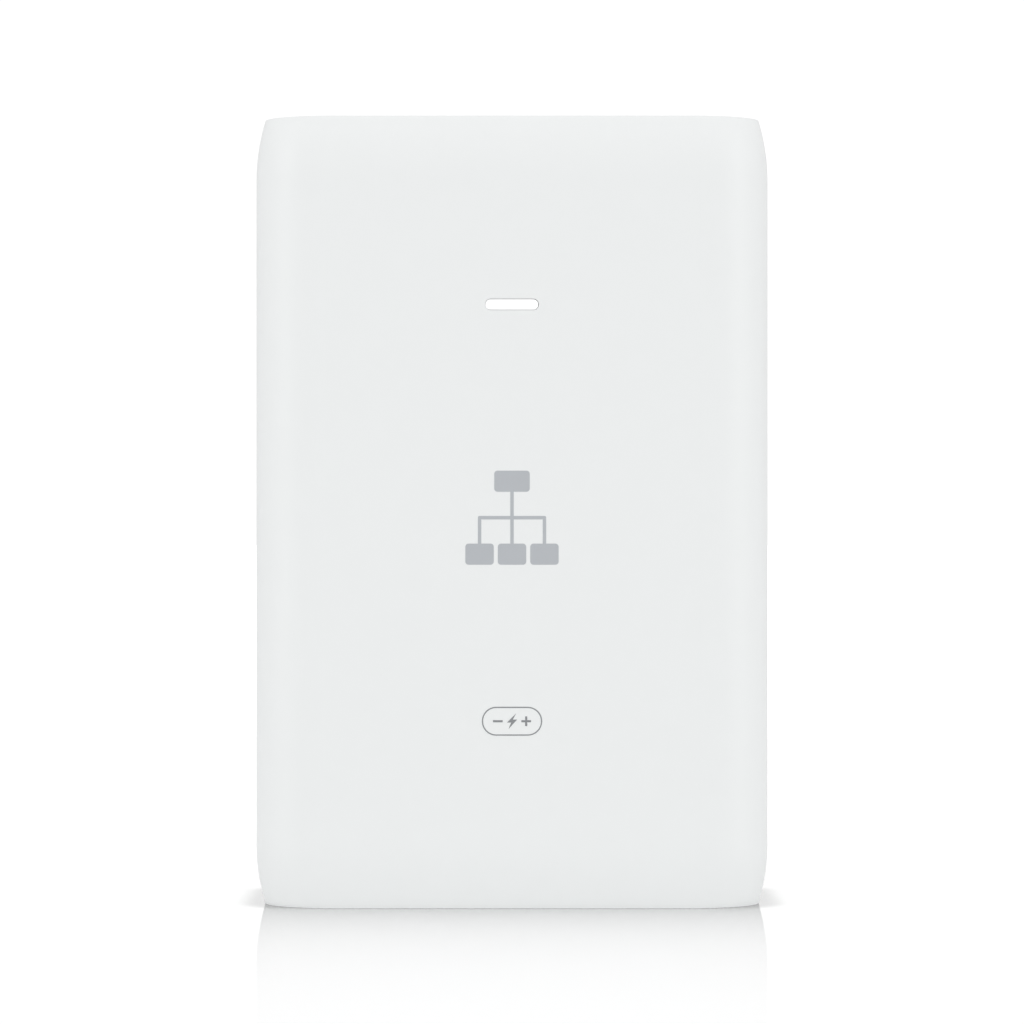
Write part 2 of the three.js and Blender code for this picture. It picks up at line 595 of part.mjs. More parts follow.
// A flat power package: moulded body, metal tab and three leads. Its tab faces +X.
function powerPackage({ halfLong, low, high }) {
  const { body, tabXs, tabPast, leadXs, pitch, lead } = FLAT_PACK;
  const leads = [-pitch, 0, pitch].map((z) => block(leadXs, [low - ROOT, -BOARD_GAP], around(z, lead)));
  const lengths = around(0, halfLong);
  const tab = block(tabXs, [high - tabPast, low], lengths);
  return joined(block([0, body], [high, low], lengths), tab, ...leads);
}

// An upright aluminium plate on the board, with fins along the far edge of one side.
function heatsink({ halfLong, high }, finSide) {
  const { plate, lift, fin, finHigh, finHalf, at } = SINK;
  const finXs = finSide > 0 ? [plate - 0.2, plate + fin - 0.2] : [0.2 - fin, 0.2];
  const finYs = [-high, finHigh - high];
  const fins = at.map((share) => block(finXs, finYs, around(share * halfLong, finHalf)));
  return joined(block([0, plate], [-high, -lift], around(0, halfLong)), ...fins);
}

// A flat ring about Y, in the middle of the choke.
function ring(inner, outer, halfHigh) {
  const tube = rodY(outer, [-halfHigh, halfHigh], 0, 0, 24);
  const bore = rodY(inner, [-halfHigh - PAST, halfHigh + PAST], 0, 0, 24);
  return cut(tube, bore).translate(0, PARTS.choke.middle, 0);
}

// One half-winding: a thick sleeve over the core on one side.
function chokeWinding(side) {
  const { inner, outer, high, wrap, gap, split } = PARTS.choke;
  const sleeve = ring(inner - wrap, outer + wrap, high / 2 + wrap);
  const core = ring(inner - gap, outer + gap, high / 2 + gap);
  const xs = side > 0 ? [split, WIDTH] : [-WIDTH, -split];
  return sleeve.subtract(core).intersect(block(xs, [-WIDTH, WIDTH], [-WIDTH, WIDTH]));
}

function glassFuse({ radius, high, lift, spread }) {
  return joined(rodY(radius, [-high, -lift]), ...legs(spread, -lift - ROOT));
}

function bridgeRectifier({ halfWide, high, low, halfLong, legXs }) {
  const pins = legXs.map((x) => block(around(x, WIRE_RADIUS), [-low - ROOT, -BOARD_GAP], around(0, 0.3)));
  return joined(block(around(0, halfWide), [-high, -low], around(0, halfLong)), ...pins);
}

const { inner: chokeInner, outer: chokeOuter, high: chokeHigh } = PARTS.choke;
onBoard("film_capacitor", coatedBox(PARTS.filmCapacitor), "yellowBox", PARTS.filmCapacitor);
onBoard("fuse", glassFuse(PARTS.fuse), "blackPlastic", PARTS.fuse);
onBoard("varistor", standingDisc(PARTS.varistor), "blueEpoxy", PARTS.varistor);
onBoard("choke_core", ring(chokeInner, chokeOuter, chokeHigh / 2), "ferrite", PARTS.choke);
onBoard("choke_winding_left", chokeWinding(-1), "copper", PARTS.choke);
onBoard("choke_winding_right", chokeWinding(1), "copper", PARTS.choke);
onBoard("bridge_rectifier", bridgeRectifier(PARTS.rectifier), "blackPlastic", PARTS.rectifier);
onBoard("thermistor", standingDisc(PARTS.thermistor), "greenEpoxy", PARTS.thermistor);
onBoard("bulk_capacitor", lyingCan(PARTS.bulkCapacitor), "capSleeve", PARTS.bulkCapacitor);
onBoard("primary_heatsink", heatsink(PARTS.primaryHeatsink, 1), "aluminium", PARTS.primaryHeatsink);
onBoard("switch_transistor", powerPackage(PARTS.switchTransistor), "blackPlastic", PARTS.switchTransistor);

// ---------------------------------------------------------------- transformer

// One E-shaped ferrite half. Its legs point along -Z from a plate at the top.
function coreHalf() {
  const { halfWide, halfDeep, halfHigh, plate, leg, sideLeg, split } = CORE;
  const under = halfHigh - plate;
  const legZs = [split, under + ROOT];
  const sideLegs = [[halfWide - sideLeg, halfWide], [-halfWide, sideLeg - halfWide]];
  const depths = around(0, halfDeep);
  const plateBlock = block(around(0, halfWide), depths, [under, halfHigh]);
  return joined(plateBlock, rodZ(leg, legZs, 16), ...sideLegs.map((xs) => block(xs, depths, legZs)));
}

function bobbin() {
  const { tube, bore, halfWide, halfDeep, halfHigh, flange } = BOBBIN;
  const flangeZs = [[-halfHigh, flange - halfHigh], [halfHigh - flange, halfHigh]];
  const flanges = flangeZs.map((zs) => block(around(0, halfWide), around(0, halfDeep), zs));
  return cut(joined(rodZ(tube, around(0, halfHigh)), ...flanges), rodZ(bore, around(0, halfHigh + PAST)));
}

function winding() {
  const half = BOBBIN.halfHigh - BOBBIN.flange - WINDING.gap;
  const bore = rodZ(BOBBIN.tube + WINDING.gap, around(0, half + PAST), 24);
  return cut(rodZ(WINDING.radius, around(0, half), 24), bore);
}

const transformer = new THREE.Group();
const transformerY = BOARD.front - BOBBIN.halfDeep - BOBBIN.lift;
transformer.position.set(PARTS.transformer.x, transformerY, PARTS.transformer.z);
injector.add(transformer);
const centre = [0, 0, 0];
piece("transformer_core_upper", coreHalf(), "ferrite", centre, transformer);
piece("transformer_core_lower", coreHalf().rotate([180, 0, 0]), "ferrite", centre, transformer);
piece("transformer_bobbin", bobbin(), "blackPlastic", centre, transformer);
piece("transformer_winding", winding(), "yellowTape", centre, transformer);

// ---------------------------------------------------------------- low-voltage side of the board

// A small moulded package with two rows of flat legs.
function legPackage({ halfWide, high, halfLong, perSide, pitch }) {
  const rows = Array.from({ length: perSide }, (_, i) => (i - (perSide - 1) / 2) * pitch);
  const footXs = around(0, halfWide + GULL.reach);
  const feet = rows.map((z) => block(footXs, [-GULL.high, -BOARD_GAP], around(z, GULL.halfWide)));
  return joined(block(around(0, halfWide), [-high, -GULL.lift], around(0, halfLong)), ...feet);
}

function drumChoke({ flange, drum, high, rim, lift, slope }) {
  const profile = [
    [0, -high],
    [flange, -high],
    [flange, rim - high],
    [drum, rim + slope - high],
    [drum, -lift - rim - slope],
    [flange, -lift - rim],
    [flange, -lift],
    [0, -lift],
  ];
  return turned(profile);
}

onBoard("safety_capacitor", standingDisc(PARTS.safetyCapacitor), "blueEpoxy", PARTS.safetyCapacitor);
onBoard("optocoupler", legPackage(PARTS.optocoupler), "blackPlastic", PARTS.optocoupler);
onBoard("secondary_heatsink", heatsink(PARTS.secondaryHeatsink, -1), "aluminium", PARTS.secondaryHeatsink);
const turnedRound = powerPackage(PARTS.outputRectifier).rotate([0, 180, 0]);
onBoard("output_rectifier", turnedRound, "blackPlastic", PARTS.outputRectifier);
onBoard("output_choke", drumChoke(PARTS.outputChoke), "ferrite", PARTS.outputChoke);
onBoard("power_controller", legPackage(PARTS.powerController), "blackPlastic", PARTS.powerController);
const { xs: magneticsXs, z: magneticsZ } = PARTS.magnetics;
["data", "power"].forEach((name, i) => {
  const place = { x: magneticsXs[i], z: magneticsZ };
  onBoard(`${name}_magnetics`, legPackage(PARTS.magnetics), "blackPlastic", place);
});
for (const [name, side] of [["left", -1], ["right", 1]]) {
  const place = { x: side * PARTS.outputCapacitor.x, z: PARTS.outputCapacitor.z };
  onBoard(`output_capacitor_${name}`, lyingCan(PARTS.outputCapacitor), "capSleeve", place);
}

export default injector;
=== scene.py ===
import json
import math

import bmesh
import bpy
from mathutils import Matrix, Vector


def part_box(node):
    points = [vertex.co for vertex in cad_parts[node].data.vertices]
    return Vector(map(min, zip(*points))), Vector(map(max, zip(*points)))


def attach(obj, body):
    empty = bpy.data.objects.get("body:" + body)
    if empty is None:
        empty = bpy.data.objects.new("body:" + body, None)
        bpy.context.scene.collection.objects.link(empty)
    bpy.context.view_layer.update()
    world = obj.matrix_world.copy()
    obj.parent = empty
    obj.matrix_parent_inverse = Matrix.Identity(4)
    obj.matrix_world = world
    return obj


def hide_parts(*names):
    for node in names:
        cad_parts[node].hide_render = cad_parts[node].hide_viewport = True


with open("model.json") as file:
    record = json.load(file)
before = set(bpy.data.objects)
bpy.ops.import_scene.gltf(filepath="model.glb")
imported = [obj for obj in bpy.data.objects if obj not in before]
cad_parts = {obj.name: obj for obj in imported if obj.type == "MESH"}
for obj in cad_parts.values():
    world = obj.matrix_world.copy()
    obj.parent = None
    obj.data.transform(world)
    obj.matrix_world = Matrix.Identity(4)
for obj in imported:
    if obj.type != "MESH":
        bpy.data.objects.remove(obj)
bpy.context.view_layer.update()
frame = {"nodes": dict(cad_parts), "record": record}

perMetre = 1000  # shapes are made in millimetres and brought to metres by finishPiece
print("frame loaded:", len(frame["nodes"]), "parts")


# lowest and highest corner of a part of the frame, in millimetres
def nodeBox(name):
    low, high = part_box(name)
    return low * perMetre, high * perMetre


def nodeMiddle(name):
    low, high = nodeBox(name)
    return (low + high) / 2


frontLow, frontHigh = nodeBox("front_shell")
backHigh = nodeBox("rear_shell")[1]
brick = {
    "width": frontHigh.x - frontLow.x,
    "height": frontHigh.z,
    "frontY": frontLow.y,
    "backY": backHigh.y,
    "cornerRadius": 8.8,
    "endInset": 1.1,
    "endLength": 7.6,
    "edgeRound": 0.05,
    "wall": 2.2,
    "seamGap": 0.3,
    "seamRound": 0.18,
    "levels": 121,
    "cornerSteps": 20,
}
brick["midY"] = (brick["frontY"] + brick["backY"]) / 2
brick["seamY"] = frontHigh.y + brick["seamGap"] / 2


def linked(name, data):
    thing = bpy.data.objects.new(name, data)
    bpy.context.scene.collection.objects.link(thing)
    return thing


# camera, straight at the front and level with the middle of the brick
cameraSetup = {"distance": 552.8, "lens": 157.6, "sensor": 36}


def addCamera():
    data = bpy.data.cameras.new("camera")
    data.sensor_width = cameraSetup["sensor"]
    data.lens = cameraSetup["lens"]
    data.clip_end = 50
    camera = linked("camera", data)
    camera.location = Vector((0, brick["frontY"] - cameraSetup["distance"], brick["height"] / 2)) / perMetre
    camera.rotation_euler = (math.pi / 2, 0, 0)
    bpy.context.scene.camera = camera


addCamera()


# one socket of a node tree; arithmetic on it adds Math nodes
class Wire:
    def __init__(self, tree, socket=None):
        self.tree = tree
        self.socket = socket

    def add(self, kind, settings=None, values=None, out=0):
        node = self.tree.nodes.new(kind)
        for key, value in (settings or {}).items():
            setattr(node, key, value)
        for key, value in (values or {}).items():
            if isinstance(value, Wire):
                self.tree.links.new(value.socket, node.inputs[key])
            else:
                node.inputs[key].default_value = value
        return Wire(self.tree, node.outputs[out] if len(node.outputs) else None)

    def pick(self, out):
        return Wire(self.tree, self.socket.node.outputs[out])

    def maths(self, operation, *operands):
        return self.add("ShaderNodeMath", {"operation": operation}, dict(enumerate(operands)))

    def __add__(self, other):
        return self.maths("ADD", self, other)

    def __sub__(self, other):
        return self.maths("SUBTRACT", self, other)

    def __rsub__(self, other):
        return self.maths("SUBTRACT", other, self)

    def __mul__(self, other):
        return self.maths("MULTIPLY", self, other)

    def __truediv__(self, other):
        return self.maths("DIVIDE", self, other)

    __radd__ = __add__
    __rmul__ = __mul__


# a material or a world with its nodes cleared
def cleared(owner):
    owner.use_nodes = True
    owner.node_tree.nodes.clear()
    return Wire(owner.node_tree)


# a material with one Principled surface; build(pen, place) returns what varies over it
def makeMaterial(name, fixed, build):
    material = bpy.data.materials.new(name)
    pen = cleared(material)
    varied = build(pen, pen.add("ShaderNodeTexCoord", out="Object"))
    surface = pen.add("ShaderNodeBsdfPrincipled", {}, {**fixed, **varied})
    pen.add("ShaderNodeOutputMaterial", {}, {"Surface": surface})
    return material


# noise whose features are so many millimetres across
def noise(pen, place, size, detail=2.0):
    return pen.add("ShaderNodeTexNoise", {}, {"Vector": place, "Scale": perMetre / size, "Detail": detail})


def bump(pen, height, depth):
    given = {"Height": height, "Distance": depth / perMetre, "Strength": 1.0}
    return pen.add("ShaderNodeBump", {}, given, "Normal")


def between(pen, share, first, second):
    return pen.add("ShaderNodeMix", {"data_type": "RGBA"}, {0: share, 6: (*first, 1), 7: (*second, 1)}, 2)


def shade(colour, amount):
    return tuple(min(1.0, part * amount) for part in colour)


def grey(pen, value):
    return pen.add("ShaderNodeCombineColor", {}, {0: value, 1: value, 2: value})


# first up to the start, last from the end on, and a straight or smooth run between them
def ramp(pen, value, start, end, first=0.0, last=1.0, run="LINEAR"):
    limits = {0: value, 1: start, 2: end, 3: first, 4: last}
    return pen.add("ShaderNodeMapRange", {"interpolation_type": run}, limits)


# moulded, coated and cast surfaces: colour that wanders a little, uneven gloss and a fine grain
cast = {"patch": 40, "detail": 3.0, "least": 0.85, "spread": 0.3}


def grained(name, colour, roughness, grain, depth, wander=0.04, coat=0.0):
    def build(pen, place):
        broad = noise(pen, place, grain * cast["patch"])
        fine = noise(pen, place, grain, cast["detail"])
        uneven = (broad * 0.5 + fine * 0.5) * (roughness * cast["spread"])
        return {
            "Base Color": between(pen, broad, shade(colour, 1 - wander), shade(colour, 1 + wander)),
            "Roughness": roughness * cast["least"] + uneven,
            "Normal": bump(pen, fine, depth),
        }

    return makeMaterial(name, {"Coat Weight": coat}, build)


# metal with rolling or drawing marks along one axis: 0 is X, 1 is Y, 2 is Z
rolled = {"stretch": 0.04, "detail": 4.0, "patch": 3.0, "lines": 0.14, "dulling": 0.08, "relief": 0.004}


def brushed(name, colour, roughness, along, pitch=0.12):
    def build(pen, place):
        squeeze = [1.0, 1.0, 1.0]
        squeeze[along] = rolled["stretch"]
        drawn = pen.add("ShaderNodeMapping", {}, {"Vector": place, "Scale": squeeze})
        lines = noise(pen, drawn, pitch, rolled["detail"])
        dulled = noise(pen, place, rolled["patch"])
        return {
            "Base Color": between(pen, dulled, shade(colour, 0.9), shade(colour, 1.05)),
            "Roughness": roughness + lines * rolled["lines"] + dulled * rolled["dulling"],
            "Normal": bump(pen, lines, rolled["relief"]),
        }

    return makeMaterial(name, {"Metallic": 1.0}, build)


# light, floor and surroundings; the room is brighter in front of the brick than behind it
studio = {
    "backdrop": 1.06,
    "mirroredBackdrop": 1.51,
    "front": 0.96,
    "behind": 0.7,
    "above": 0.32,
    "right": 0.46,
    "left": 0.44,
    "softboxPower": 4,
    "floorShade": 0.93,
    "floorGloss": 0.5,
    "floorWander": 0.1,
    "floorPatch": 60.0,
    "floorSize": 12000,
    "mirrorTint": 0.7,
    "mirrorNear": 28.0,
    "mirrorNearShare": 0.57,
    "mirrorFar": 150.0,
    "mirrorFarShare": 0.17,
    "glow": 0.1,
    "farGlow": 0.32,
    "glowRun": (-10.0, 120.0),
    "openGlow": 0.5,
    "openRun": (150.0, 500.0),
    "contactShade": 0.28,
    "contactReach": 3.2,
    "contactStart": (0.5, 3.0),
}
softboxes = {
    "above": ((0, -250, 900), (600, 600)),
    "right": ((800, -300, 120), (300, 700)),
    "left": ((-800, -300, 120), (300, 700)),
}


def addWorld():
    world = bpy.data.worlds.new("studio")
    pen = cleared(world)
    towards = pen.add("ShaderNodeSeparateXYZ", {}, {0: pen.add("ShaderNodeTexCoord", out="Generated")})
    share = towards.pick(1) * 0.5 + 0.5
    room = share * (studio["behind"] - studio["front"]) + studio["front"]
    seen = pen.add("ShaderNodeLightPath", out="Is Camera Ray")
    mirrored = seen.pick("Is Singular Ray")
    strength = room + seen * (studio["backdrop"] - room)
    strength = strength + mirrored * (studio["mirroredBackdrop"] - strength)
    glow = pen.add("ShaderNodeBackground", {}, {"Color": (1, 1, 1, 1), "Strength": strength})
    pen.add("ShaderNodeOutputWorld", {}, {"Surface": glow})
    bpy.context.scene.world = world
    bpy.context.scene.view_settings.view_transform = "Standard"


def addSoftbox(name, place, size):
    lamp = bpy.data.lights.new(name, "AREA")
    lamp.shape = "RECTANGLE"
    lamp.size, lamp.size_y = (side / perMetre for side in size)
    lamp.energy = studio[name] * math.pi * lamp.size * lamp.size_y * studio["softboxPower"]
    box = linked(name, lamp)
    box.location = Vector(place) / perMetre
    aim = Vector((0, 0, brick["height"] / 2)) / perMetre - box.location
    box.rotation_euler = aim.to_track_quat("-Z", "Y").to_euler()
    box.visible_camera = False


# a white floor that mirrors the brick close by, and glows a little to meet the backdrop
def addFloor():
    half = studio["floorSize"] / 2 / perMetre
    corners = [(-half, -half, 0), (half, -half, 0), (half, half, 0), (-half, half, 0)]
    mesh = bpy.data.meshes.new("floor")
    mesh.from_pydata(corners, [], [(0, 1, 2, 3)])
    floor = linked("floor", mesh)
    material = bpy.data.materials.new("floorPaint")
    pen = cleared(material)
    place = pen.add("ShaderNodeTexCoord", out="Object")
    at = pen.add("ShaderNodeSeparateXYZ", {}, {0: place})
    seen = pen.add("ShaderNodeLightPath", out="Is Camera Ray")
    depth = at.pick(1) * perMetre
    corner = brick["cornerRadius"]
    aside = pen.maths("ABSOLUTE", at * perMetre) - (brick["width"] / 2 - corner)
    beyond = pen.maths("ABSOLUTE", depth - brick["midY"]) - ((brick["backY"] - brick["frontY"]) / 2 - corner)
    aside = pen.maths("MAXIMUM", aside, 0.0)
    beyond = pen.maths("MAXIMUM", beyond, 0.0)
    away = pen.maths("MAXIMUM", pen.maths("SQRT", aside * aside + beyond * beyond) - corner, 0.0)
    mirrored = pen.maths("EXPONENT", away / -studio["mirrorNear"]) * studio["mirrorNearShare"]
    mirrored = mirrored + pen.maths("EXPONENT", away / -studio["mirrorFar"]) * studio["mirrorFarShare"]
    behind = ramp(pen, depth, *studio["glowRun"], studio["glow"], studio["farGlow"])
    around = ramp(pen, away, *studio["openRun"], 0.0, studio["openGlow"])
    glow = pen.maths("MAXIMUM", behind, around) * seen
    white = studio["floorShade"]
    paint = {
        "Base Color": (white, white, white, 1),
        "Roughness": noise(pen, place, studio["floorPatch"]) * studio["floorWander"] + studio["floorGloss"],
        "Emission Color": grey(pen, glow),
        "Emission Strength": 1.0,
    }
    paint = pen.add("ShaderNodeBsdfPrincipled", {}, paint)
    # the soft contact shadow along the sides and the back
    shadow = ramp(pen, away, 0.0, studio["contactReach"], studio["contactShade"], 0.0, "SMOOTHSTEP")
    before, after = studio["contactStart"]
    start = ramp(pen, depth, brick["frontY"] - before, brick["frontY"] + after, run="SMOOTHSTEP")
    tint = grey(pen, (1 - shadow * start) * studio["mirrorTint"])
    mirror = pen.add("ShaderNodeBsdfAnisotropic", {}, {"Color": tint, "Roughness": 0.0})
    both = pen.add("ShaderNodeMixShader", {}, {0: mirrored * seen, 1: paint, 2: mirror})
    pen.add("ShaderNodeOutputMaterial", {}, {"Surface": both})
    material.cycles.emission_sampling = "NONE"
    mesh.materials.append(material)


for softbox, (spot, size) in softboxes.items():
    addSoftbox(softbox, spot, size)
addWorld()
addFloor()
print("camera, room and floor set")


# one finish for each material slot; the board, the light pipe and the inks follow
finishes = {
    "casing": grained("casingPlastic", (0.8, 0.815, 0.815), 0.42, 0.09, 0.0012, wander=0.004),
    "rubber": grained("footRubber", (0.5, 0.51, 0.52), 0.85, 0.12, 0.012),
    "label": grained("labelFilm", (0.7, 0.71, 0.72), 0.45, 0.2, 0.001, wander=0.01),
    "black_plastic": grained("blackPlastic", (0.012, 0.012, 0.013), 0.42, 0.1, 0.004, wander=0.2),
    "nylon": grained("whiteNylon", (0.75, 0.74, 0.68), 0.5, 0.15, 0.003),
    "sheet_steel": brushed("sheetSteel", (0.72, 0.73, 0.74), 0.2, 0),
    "zinc_steel": brushed("zincSteel", (0.62, 0.64, 0.67), 0.28, 1),
    "gold": brushed("goldPlate", (0.95, 0.72, 0.32), 0.14, 2, 0.06),
    "nickel": brushed("nickelPlate", (0.76, 0.73, 0.68), 0.18, 2),
    "aluminium": brushed("extrudedAluminium", (0.7, 0.71, 0.72), 0.3, 2, 0.2),
    "ferrite": grained("sinteredFerrite", (0.035, 0.035, 0.037), 0.6, 0.12, 0.01, wander=0.15),
    "copper": brushed("enamelledCopper", (0.75, 0.3, 0.12), 0.2, 1),
    "tape": grained("polyesterTape", (0.75, 0.52, 0.06), 0.3, 0.6, 0.006),
    "blue_epoxy": grained("blueEpoxy", (0.03, 0.12, 0.42), 0.3, 0.7, 0.02, coat=0.3),
    "green_epoxy": grained("greenEpoxy", (0.03, 0.16, 0.07), 0.32, 0.7, 0.02, coat=0.3),
    "yellow_box": grained("yellowBox", (0.62, 0.47, 0.06), 0.35, 0.3, 0.004),
    "sleeve": grained("shrinkSleeve", (0.02, 0.023, 0.03), 0.25, 0.5, 0.005, coat=0.2),
    "film": grained("insulationFilm", (0.72, 0.72, 0.66), 0.3, 1.0, 0.004),
}


# circuit board: green solder mask over copper tracks, which stand out a little
mask = {
    "unit": 8.0,
    "trackLong": 1.9,
    "trackPitch": 0.15,
    "trackGap": 0.035,
    "trackSoft": 0.3,
    "stagger": 0.37,
    "patch": 9.0,
    "patchEdge": (0.44, 0.5),
    "bare": (0.008, 0.09, 0.035),
    "overTrack": (0.03, 0.2, 0.07),
    "roughness": 0.26,
    "relief": 0.03,
}


def addBoard():
    def build(pen, place):
        at = pen.add("ShaderNodeSeparateXYZ", {}, {0: place})
        grid = {
            "Vector": pen.add("ShaderNodeCombineXYZ", {}, {0: at.pick(0), 1: at.pick(2)}),
            "Scale": perMetre / mask["unit"],
            "Mortar Size": mask["trackGap"],
            "Mortar Smooth": mask["trackSoft"],
            "Brick Width": mask["trackLong"],
            "Row Height": mask["trackPitch"],
        }
        tracks = pen.add("ShaderNodeTexBrick", {"offset": mask["stagger"]}, grid, "Fac")
        tracks = tracks * ramp(pen, noise(pen, place, mask["patch"]), *mask["patchEdge"])
        fine = noise(pen, place, 0.3, 3.0)
        return {
            "Base Color": between(pen, tracks, mask["bare"], mask["overTrack"]),
            "Roughness": mask["roughness"] + fine * 0.1,
            "Normal": bump(pen, tracks + fine * 0.05, mask["relief"]),
        }

    return makeMaterial("solderMask", {"Coat Weight": 0.2}, build)


# the light pipe glows only at its tip in the slot, less so along its lower edge
lens = {"glow": 0.4, "tip": (0.23, 0.27), "lowerEdge": (0.6, 0.36), "lowerGlow": 0.15, "roughness": 0.25}


def addLens():
    low, high = nodeBox("light_pipe")
    middle = (low.z + high.z) / 2

    def build(pen, place):
        at = pen.add("ShaderNodeSeparateXYZ", {}, {0: place})
        litTo, darkFrom = (brick["frontY"] + depth for depth in lens["tip"])
        tip = ramp(pen, at.pick(1) * perMetre, litTo, darkFrom, 1.0, 0.0)
        dimTo, litFrom = (middle - drop for drop in lens["lowerEdge"])
        edge = ramp(pen, at.pick(2) * perMetre, dimTo, litFrom, lens["lowerGlow"])
        glow = tip * edge * (0.98 + noise(pen, place, 0.8) * 0.04)
        return {
            "Emission Color": grey(pen, glow),
            "Roughness": lens["roughness"] + noise(pen, place, 0.3) * 0.15,
            "Normal": bump(pen, noise(pen, place, 0.25), 0.002),
        }

    fixed = {"Base Color": (0.9, 0.9, 0.9, 1), "Emission Strength": lens["glow"]}
    return makeMaterial("litLens", fixed, build)


finishes["board"] = addBoard()
finishes["lens"] = addLens()
finishes["ink"] = grained("greyInk", (0.435, 0.455, 0.48), 0.5, 0.08, 0.001, wander=0.03)
finishes["darkInk"] = grained("darkGreyInk", (0.24, 0.25, 0.26), 0.5, 0.08, 0.001, wander=0.03)

slotOf = {row["node"]: row["material_slot"] for row in frame["record"]["subparts"]}
for name, node in frame["nodes"].items():
    node.data.materials.clear()
    node.data.materials.append(finishes[slotOf[name]])
print("finishes made:", len(finishes))


def evaluated(thing):
    bpy.context.view_layer.update()
    graph = bpy.context.evaluated_depsgraph_get()
    return bpy.data.meshes.new_from_object(thing.evaluated_get(graph))


def discard(*things):
    for thing in things:
        bpy.data.objects.remove(thing)


# a mesh grown by a Geometry Nodes tree with named inputs
def growMesh(name, inputs, build, finish):
    kinds = {int: "NodeSocketInt", float: "NodeSocketFloat", bpy.types.Material: "NodeSocketMaterial"}
    given = {**inputs, "Finish": finish}
    tree = bpy.data.node_groups.new(name, "GeometryNodeTree")
    for label, value in given.items():
        tree.interface.new_socket(label, in_out="INPUT", socket_type=kinds[type(value)])
    tree.interface.new_socket("Mesh", in_out="OUTPUT", socket_type="NodeSocketGeometry")
    pen = Wire(tree)
    entry = pen.add("NodeGroupInput")
    wires = {label: entry.pick(label) for label in given}
    whole = pen.add("GeometryNodeRealizeInstances", {}, {"Geometry": build(pen, wires)})
    painted = pen.add("GeometryNodeSetMaterial", {}, {"Geometry": whole, "Material": wires["Finish"]})
    pen.add("NodeGroupOutput", {}, {"Mesh": painted})
    holder = linked(name, bpy.data.meshes.new(name))
    modifier = holder.modifiers.new(name, "NODES")
    modifier.node_group = tree
    for item in tree.interface.items_tree:
        if item.in_out == "INPUT":
            modifier[item.identifier] = given[item.name]
    mesh = evaluated(holder)
    discard(holder)
    return mesh


def upright(pen, start, end, count):
    line = pen.add("GeometryNodeCurvePrimitiveLine", {}, {"Start": (0, 0, start), "End": (0, 0, end)})
    return pen.add("GeometryNodeResampleCurve", {}, {"Curve": line, "Count": count})


# a rounded rectangle run along a line, closed at both ends
def sweep(pen, line, width, height, steps, radius):
    section = pen.add("GeometryNodeCurvePrimitiveQuadrilateral", {}, {"Width": width, "Height": height})
    section = {"Curve": section, "Count": steps, "Radius": radius}
    section = pen.add("GeometryNodeFilletCurve", {"mode": "POLY"}, section)
    swept = {"Curve": line, "Profile Curve": section, "Fill Caps": True}
    return pen.add("GeometryNodeCurveToMesh", {}, swept)


# joins, cuts and keeps, in turn, on closed meshes
def carve(mesh, *steps):
    target = linked("carved", mesh)
    tools = []
    for operation, tool in steps:
        tools.append(linked("tool", tool))
        modifier = target.modifiers.new(operation, "BOOLEAN")
        modifier.operation = operation
        modifier.solver = "EXACT"
        modifier.object = tools[-1]
    made = evaluated(target)
    discard(target, *tools)
    return made


def scaled(factor):
    return ((factor, 0, 0, 0), (0, factor, 0, 0), (0, 0, factor, 0), (0, 0, 0, 1))


def quarterTurns(steps=4):
    return [math.pi / 2 * i / steps for i in range(steps + 1)]


# a closed mesh through rings of equally many points
def loft(rings):
    mesh = bpy.data.meshes.new("loft")
    work = bmesh.new()
    layers = [[work.verts.new(point) for point in ring] for ring in rings]
    for lower, upper in zip(layers, layers[1:]):
        for i in range(len(lower)):
            j = (i + 1) % len(lower)
            work.faces.new((lower[i], lower[j], upper[j], upper[i]))
    work.faces.new(layers[0][::-1])
    work.faces.new(layers[-1])
    bmesh.ops.recalc_face_normals(work, faces=work.faces)
    work.to_mesh(mesh)
    work.free()
    return mesh


# corner points of a rounded rectangle, anticlockwise
def roundedRing(halfX, halfY, radius, steps=8):
    points = []
    for quarter, (sideX, sideY) in enumerate(((1, 1), (-1, 1), (-1, -1), (1, -1))):
        for i in range(steps + 1):
            turn = math.pi / 2 * (quarter + i / steps)
            x = sideX * (halfX - radius) + radius * math.cos(turn)
            points.append((x, sideY * (halfY - radius) + radius * math.sin(turn)))
    return points


# which way a tool goes in, from a face at a given height: point(u, v, depth)
def fromFront(y):
    return lambda u, v, depth: (u, y + depth, v)


def fromBack(y):
    return lambda u, v, depth: (u, y - depth, v)


def fromTop(z):
    return lambda u, v, depth: (u, v, z - depth)


def fromBelow(z):
    return lambda u, v, depth: (u, v, z + depth)


# a cutter for an opening, as deep as given, whose mouth is flared so that the rim comes out round
def opening(centre, half, radius, depth, rim, point, steps=8):
    rims = [(rim * (1 - math.sin(t)), rim * (1 - math.cos(t))) for t in quarterTurns()]
    levels = [(rim, -1.0), *rims, (0.0, depth)]  # it starts 1 mm outside the face
    rings = []
    for grow, deep in levels:
        ring = roundedRing(half[0] + grow, half[1] + grow, radius + grow, steps)
        rings.append([point(centre[0] + u, centre[1] + v, deep) for u, v in ring])
    return loft(rings)


squareCorners = ((-1, -1), (1, -1), (1, 1), (-1, 1))


def block(low, high):
    middle = [(a + b) / 2 for a, b in zip(low, high)]
    half = [(b - a) / 2 for a, b in zip(low, high)]
    rings = []
    for z in (low[2], high[2]):
        rings.append([(middle[0] + half[0] * a, middle[1] + half[1] * b, z) for a, b in squareCorners])
    return loft(rings)


# an outline in X and Y, or in X and Z, with a thickness
def prism(outline, start, end, point=None):
    point = point or fromBelow(0)
    return loft([[point(u, v, depth) for u, v in outline] for depth in (start, end)])


